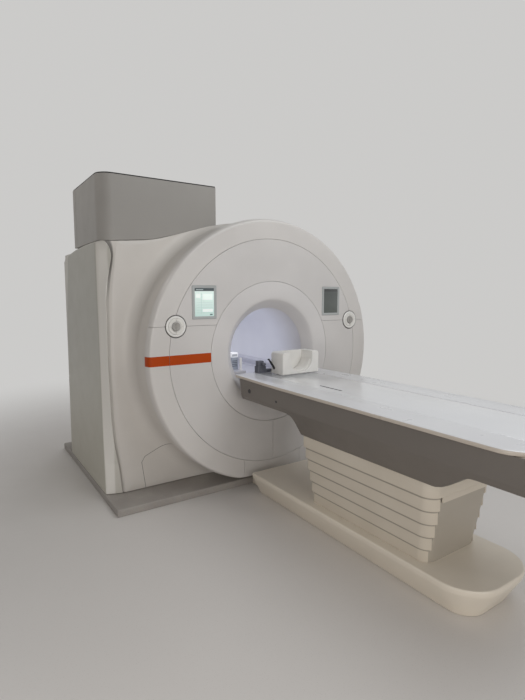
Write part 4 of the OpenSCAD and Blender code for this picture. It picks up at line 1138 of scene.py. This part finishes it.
# Plan of an open strip: it starts where its foot arc x = cx + r sin a, y = cy - r cos a meets the opening,
# sin a = (open - cx) / r, runs to the head end and returns as its own mirror image.
def openPlan(half, head, foot, rHead, rFoot):
    opening = pedestal["open"]
    start = math.asin(min(max((opening - half + rFoot) / rFoot, 0.0), 1.0))
    a = np.linspace(start, math.pi / 2, 10)
    bend = np.stack([half - rFoot + rFoot * np.sin(a), foot + rFoot - rFoot * np.cos(a)], 1)
    headBend = rounded([(half, foot), (half, head), (-half, head)], [0, rHead, 0], 10)[1:-1]
    side = np.concatenate([[(opening, bend[0, 1])], bend, headBend])
    return np.concatenate([side, mirrored(side, 0)])


# Cream covers with a painted shadow along the top of each strip, under the strip above, by the share of the
# pitch above its lower edge.
def stripFinish():
    k = pedestal
    p = Paint("stripCream", 0.42, coat=0.12, coatRoughness=0.25)
    cream = p.cloud().mix((0.64, 0.58, 0.49), (0.68, 0.62, 0.53))
    share = ((p.z - k["floor"]) / k["pitch"]).math("FRACT")
    besidePanel = (p.x.abs() - 0.196 + (p.y + 2.60).step(0, 0.001)).step(0, 0.001)
    # painted shadow band just under the lower edge of the strip above
    overhangShadow = share.step(0.825, 0.845) * (1.0 - p.z.step(0.549, 0.5495)) * besidePanel
    p.color(overhangShadow.mix(cream, (0.36, 0.325, 0.275)))
    return satinTouch(p, 0.42)


# Strips: the rounded rectangle of a section goes along the plan path; each next one is a step smaller all
# round and a pitch lower, and the lip along its top runs against the inside of the strip above.
def strips():
    k = pedestal
    r, wall, lip = k["roll"], k["wall"], 0.0017
    for number in range(1, k["count"] + 1):
        inward = k["step"] * (number - 1)
        low = k["floor"] - k["pitch"] * number + (0.0003 if number == k["count"] else 0)
        high = low + (k["pitch"] - 0.0003 if number == 1 else k["height"])
        section = [(-wall, low), (-r, low), (-r * 0.3, low + r * 0.3), (0, low + r)]
        if number > 1:
            section += [(0, high - 0.010), (0.0004, high - 0.0092), (lip, high - 0.009), (lip, high),
                        (-wall, high)]
        else:
            section += [(0, high - r), (-r * 0.3, high - r * 0.3), (-r, high), (-wall, high)]
        plans = []
        for out, z in section:
            grow = out - inward
            sizes = (k["half"] + grow, k["head"] + grow, k["foot"] - grow, k["headR"] + out, k["footR"] + out)
            plans.append(laid(closedPlan(*sizes) if number == 1 else openPlan(*sizes), 2, z))
        grid = np.array(plans).transpose(1, 0, 2)
        if number == 1:
            shape = joined(surface(grid, wrapRows=True, wrapCols=True),
                           boxShell((-0.190, k["foot"], 0.521), (0.190, k["foot"] + wall, 0.5515)))
        else:
            shape = loft(grid)
        rides = "table" if number == 1 else "scanner" if number == k["count"] else "strip_%d" % number
        addPiece("strip%d" % number, shape, "strip", rides, "lamella_%d" % number, angle=50)


# End panel: follows the strips' foot ends, so it leans in downward by their steps, and its front y rises
# toward the sides as a circle, y = face + R - sqrt(R^2 - (|x| - bend)^2).
def endPanel():
    half, bendR = pedestal["open"], pedestal["footR"]
    levels = []
    for z, lean, pull in ((0.1783, 0.05, 0), (0.30, 0.0325, 0), (0.42, 0.015, 0), (0.5200, 0, 0),
                          (0.5222, 0, 0.0007), (0.5239, 0, 0.0024)):
        x = np.linspace(-half, half, 41)
        past = np.clip(np.abs(x) - (half - lean), 0, 0.07)
        y = -2.640 + lean + pull + bendR - np.sqrt(bendR ** 2 - past ** 2)
        edge = y.max() + 0.045
        plan = [(-half, edge), *zip(x, y), (half, edge), (half - 0.005, edge),
                *zip(x[::-1] * 0.975, y[::-1] + 0.012), (0.005 - half, edge)]
        levels.append(laid(plan, 2, z))
    addPiece("endPanel", loft(levels), "panel", "scanner", "end_panel", angle=40)


mats["strip"] = stripFinish()
strips()
endPanel()

foot = dict(half=0.28, end=-2.90, head=-1.05, cornerR=0.2, tongue=(-0.150, -1.07, 0.150, -0.8513),
            tongueTop=0.065, pit=((-0.090, -2.240, 0.025), (0.090, -2.060, 0.2)))


# Foot plate: plan with large round foot corners; the inset at each height leans the sides in downward.
def basePlate():
    k = foot
    loops = []
    for z, d, pull in ((0.0, 0.080, 0), (0.03, 0.064, 0), (0.09, 0.0316, 0), (0.136, 0.0066, 0),
                       (0.145, 0.0024, 0), (0.153, 0.0004, 0), (0.162, 0, 0), (0.1705, 0.0002, 0.0002),
                       (0.1755, 0.0020, 0.0018), (0.1775, 0.0048, 0.0040), (0.178, 0.0080, 0.0065)):
        half, r = k["half"] - d, k["cornerR"] - d
        plan = roundedBox(-half, k["end"] + d, half, k["head"] - pull, [r, r, 0.006, 0.006], 16)
        loops.append(laid(plan, 2, z))
    tongue = prism(roundedBox(*k["tongue"], [0, 0, 0.004, 0.004], 4), 2, 0.0, k["tongueTop"])
    plate = carved(loft(loops), boxShell(*k["pit"]))
    addPiece("basePlate", joined(plate, tongue), "base", "scanner", "base_plate",
             angle=42)


# Plinth with its front and side edges turned over.
def plinth():
    loops = []
    for z, d in ((0.0, 0.0), (0.040, 0.0), (0.0468, 0.0016), (0.0504, 0.0052), (0.052, 0.0110)):
        x = 1.265 - d
        loops.append(laid([(-x, -0.851 + d), (x, -0.851 + d), (x, 0.95), (-x, 0.95)], 2, z))
    addPiece("plinth", loft(loops), "vinyl", "scanner", "plinth", angle=50)


basePlate()
plinth()
print("pedestal and plinth")


# Sockets on the frame's side near the head: a ring with a recessed centre and a small plug, turned about x.
def sockets():
    ring = [(0.0, 0.0003), (0.015, 0.0003), (0.015, 0.0025), (0.0142, 0.0033), (0.0105, 0.0033),
            (0.0095, 0.0028), (0.0088, 0.0013), (0.0, 0.0013)]
    plug = [(0.0, 0.0003), (0.009, 0.0003), (0.009, 0.0017), (0.0082, 0.0023), (0.0, 0.0023)]
    shells = [turned(profile, (-keel["half"], y, z), 40, axis=0, sign=-1)
              for profile, y, z in ((ring, -1.156, 0.846), (plug, -1.488, 0.830))]
    addPiece("tableSockets", joined(*shells), "dark", "table", "table_sockets", angle=45)


coil = dict(left=-0.100, right=0.250, front=-1.198, rear=-1.040, low=0.9413, top=1.110, middle=0.075,
            centre=1.063, mouthR=0.112, cradleR=0.108, wall=0.024)


# Head coil's lower half: outline in the front view, with a round cradle behind a thin front lip, and a pad
# ring inside the cradle, x = middle + r cos a, z = centre + r sin a.
def headCoil():
    k = coil
    front, back, r, mid, z0 = k["front"], k["rear"] - k["wall"], k["cradleR"], k["middle"], k["centre"]
    outline = roundedBox(k["left"], k["low"], k["right"], k["top"], [0.004, 0.004, 0.022, 0.022], 8)
    loops = [laid(inset(outline, d), 1, y) for y, d in
             ((front, 0.005), (front + 0.0015, 0.0015), (front + 0.005, 0.0), (k["rear"] - 0.012, 0.0),
              (k["rear"] - 0.004, 0.003), (k["rear"], 0.010))]
    cradle = turned([(0.0, front - 0.02), (k["mouthR"], front - 0.02), (k["mouthR"], front + 0.002),
                     (r, front + 0.008), (r, back), (0.0, back)], (mid, 0, z0), 64)
    above = boxShell((mid - r, front - 0.02, z0), (mid + r, back, 1.2))
    padR, padY = np.array([(0.1075, -1.180), (0.1015, -1.180), (0.1000, -1.177), (0.1000, -1.075),
                           (0.1015, -1.072), (0.1075, -1.072)]).T
    a = np.linspace(math.pi * 1.05, math.pi * 1.95, 41)[:, None]
    pad = np.stack([mid + padR * np.cos(a), np.tile(padY, (len(a), 1)), z0 + padR * np.sin(a)], 2)
    addPiece("headCoil", joined(carved(loft(loops), cradle, above), loft(pad)), "coil", "board", "head_coil",
             angle=40)


# Clamp lever: flat bar widening to a finger grip, on a round pivot turned about x.
def lever():
    y, z = -1.090, 0.985
    side = rounded([(-0.006, -0.006), (0.006, -0.006), (0.074, 0.054), (0.084, 0.050), (0.082, 0.062),
                    (0.066, 0.066), (-0.004, 0.010)], [0.004, 0.002, 0.004, 0.003, 0.005, 0.006, 0.004], 4)
    pivot = turned([(0.0, 0.0003), (0.009, 0.0003), (0.009, 0.0082), (0.0082, 0.0093), (0.006, 0.0097),
                    (0.0, 0.0097)], (coil["left"], y, z), 32, axis=0, sign=-1)
    addPiece("coilLever", joined(prism(side + [y, z], 0, -0.1077, -0.1005), pivot), "dark", "lever",
             "coil_lever", bevel=0.001, angle=40)


# Coil plugs at the board's head end: rounded blocks with rolled tops, a bridge, and a round barrel.
def plugs():
    shells = []
    for x0, y0, x1, y1, r, low, high in ((-0.198, -1.010, -0.120, -0.955, 0.008, 0.9413, 0.9933),
                                         (-0.190, -1.005, -0.140, -0.960, 0.006, 0.9925, 1.0335),
                                         (-0.1185, -1.0, -0.06, -0.966, 0.005, 0.9413, 0.9655)):
        outline = roundedBox(x0, y0, x1, y1, r, 5)
        shells.append(loft([laid(inset(outline, d), 2, z) for z, d in
                            ((low, 0), (high - 0.003, 0), (high - 0.0008, 0.0008), (high, 0.003))]))
    shells.append(boxShell((-0.121, -0.995, 0.9453), (-0.117, -0.970, 0.9613)))
    barrel = [(0.0, -1.040), (0.010, -1.040), (0.0125, -1.038), (0.013, -1.034), (0.013, -1.0), (0.0, -1.0)]
    shells.append(turned(barrel, (-0.156, 0, 1.0113), 32))
    addPiece("coilPlugs", joined(*shells), "plug", "board", "coil_connectors", angle=40)


sockets()
headCoil()
lever()
plugs()
print("fittings")


# Column, cold head and pipe keep their form, with smooth shading, and the column small rounded edges. The
# other nodes keep their meshes and get a finish.
def cadForms():
    for nodeName, name, mat, edge in (("column_front", "columnFront", "column", 0.003),
                                      ("column_rear", "columnRear", "column", 0.003),
                                      ("cold_head", "coldHead", "steel", 0.0),
                                      ("quench_pipe", "quenchPipe", "steel", 0.0)):
        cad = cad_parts[nodeName]
        points = [cad.matrix_world @ v.co for v in cad.data.vertices]
        addPiece(name, (points, [q.vertices for q in cad.data.polygons]), mat, "scanner", nodeName,
                 bevel=edge, angle=30)
    for nodeName, mat in dict(magnet_vessel="vessel", gradient_coil="resin", body_coil="laminate",
                              cover_carrier="carrier", column_gasket="rubber", lift_tube="lift",
                              lift_ram="steel").items():
        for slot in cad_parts[nodeName].material_slots:
            slot.material = mats[mat]


cadForms()
print("inner parts")

# Camera: place and turn solved from the photo, yaw to the right, pitch up, small roll; focal length, middle
# and size of the picture in pixels.
view = dict(place=(-2.1652, -3.9940, 1.5413), yaw=0.5833, pitch=-0.1026, roll=-0.0014, focal=467.8186,
            center=(258.2899, 343.5071), size=(525, 700))


def addCamera():
    yaw, pitch, roll = view["yaw"], view["pitch"], view["roll"]
    wide, high = view["size"]
    ahead = Vector((math.sin(yaw) * math.cos(pitch), math.cos(yaw) * math.cos(pitch), math.sin(pitch)))
    level = Vector((math.cos(yaw), -math.sin(yaw), 0))
    upright = level.cross(ahead)
    right = level * math.cos(roll) + upright * math.sin(roll)
    up = upright * math.cos(roll) - level * math.sin(roll)
    data = bpy.data.cameras.new("camera")
    data.sensor_fit = "VERTICAL"
    data.sensor_height = 36
    data.lens = view["focal"] / high * 36
    data.shift_x = (wide / 2 - view["center"][0]) / high
    data.shift_y = (view["center"][1] - high / 2) / high
    data.clip_end = 60
    obj = bpy.data.objects.new("camera", data)
    obj.matrix_world = Matrix.Translation(view["place"]) @ Matrix((right, up, -ahead)).transposed().to_4x4()
    scene.collection.objects.link(obj)
    scene.camera = obj


addCamera()

# soft boxes: place, aim, size, power, colour
lamps = dict(
    ceilingPanel=((0.8, -3.0, 3.7), (0.2, -2.0, 0.8), (3.4, 1.8), 49, (0.95, 0.98, 1.0)),
    frontFill=((-1.2, -6.4, 1.4), (-0.4, -1.2, 0.6), (2.6, 1.8), 40, (1.0, 0.965, 0.925)),
    sideFill=((-2.9, -3.6, 0.8), (0, -2.3, 0.25), (1.6, 1.2), 12, (1.0, 0.96, 0.91)),
    rearFill=((2.6, 5.4, 2.4), (0, 0.6, 1.0), (3.0, 2.0), 60, (0.98, 0.98, 1.0)),
    leftFill=((-2.6, 0.3, 3.4), (-1.2, -0.1, 2.4), (0.4, 0.6), 6, (1.0, 0.95, 0.88)),
    boreLamp=((0.0, 0.0, 1.425), (0.0, 0.0, 1.0), (0.25, 1.3), 1.6, (0.93, 0.95, 1.0)))
stage = dict(pale=(0.60, 0.595, 0.585), light=(0.27, 0.264, 0.257), near=1.7, far=4.8, reach=30, drop=-0.002)


# Rays that see the backdrop: camera, glossy and transmission.
def backdropRays(tree):
    rays = Sock(tree, None).addNode("ShaderNodeLightPath", {}).out.node.outputs
    seen = [Sock(tree, rays[n]) for n in ("Is Camera Ray", "Is Glossy Ray", "Is Transmission Ray")]
    return (seen[0] + seen[1] + seen[2]).below(1.0)


# Studio floor with fine flecks that passes into the pale backdrop from near to far round the object.
def floorFinish():
    p = Paint("studioFloor", 0.5)
    flecks = p.speckle(120.0).step(0.05, 0.2)
    base = p.noise(1.2, 3.0).mix((0.68, 0.655, 0.635), (0.72, 0.695, 0.675))
    p.color(flecks.mix((0.58, 0.555, 0.535), base))
    p.rough(p.noise(6.0).step(0.2, 0.8) * 0.1 + 0.46)
    glow = p.at.addNode("ShaderNodeEmission", {"Color": (*stage["pale"], 1), "Strength": 1.0})
    out = (p.x * p.x + (p.y + 1.1) * (p.y + 1.1) * 0.55).math("SQRT").step(stage["near"], stage["far"])
    blend = p.at.addNode("ShaderNodeMixShader", {0: out * backdropRays(p.tree),
                                                 1: Sock(p.tree, p.shader.outputs[0]), 2: glow})
    end = next(n for n in p.tree.nodes if n.type == "OUTPUT_MATERIAL")
    p.tree.links.new(blend.out, end.inputs["Surface"])
    return p.mat


def addStage():
    r, z = stage["reach"], stage["drop"]
    mesh = bpy.data.meshes.new("floor")
    mesh.from_pydata([(-r, -r, z), (r, -r, z), (r, r, z), (-r, r, z)], [], [(0, 1, 2, 3)])
    mesh.materials.append(floorFinish())
    floor = bpy.data.objects.new("floor", mesh)
    scene.collection.objects.link(floor)
    world = bpy.data.worlds.new("studio")
    world.use_nodes = True
    background = next(n for n in world.node_tree.nodes if n.type == "BACKGROUND")
    seen = backdropRays(world.node_tree).mix(stage["light"], stage["pale"])
    world.node_tree.links.new(seen.out, background.inputs["Color"])
    background.inputs["Strength"].default_value = 1.0
    scene.world = world
    for name, (place, aim, size, power, color) in lamps.items():
        data = bpy.data.lights.new(name, "AREA")
        data.shape = "RECTANGLE"
        data.size, data.size_y = size
        data.energy = power
        data.color = color
        obj = bpy.data.objects.new(name, data)
        obj.location = place
        obj.rotation_euler = (Vector(aim) - Vector(place)).to_track_quat("-Z", "Y").to_euler()
        scene.collection.objects.link(obj)


addStage()
scene.view_settings.view_transform = "Standard"
print("stage")
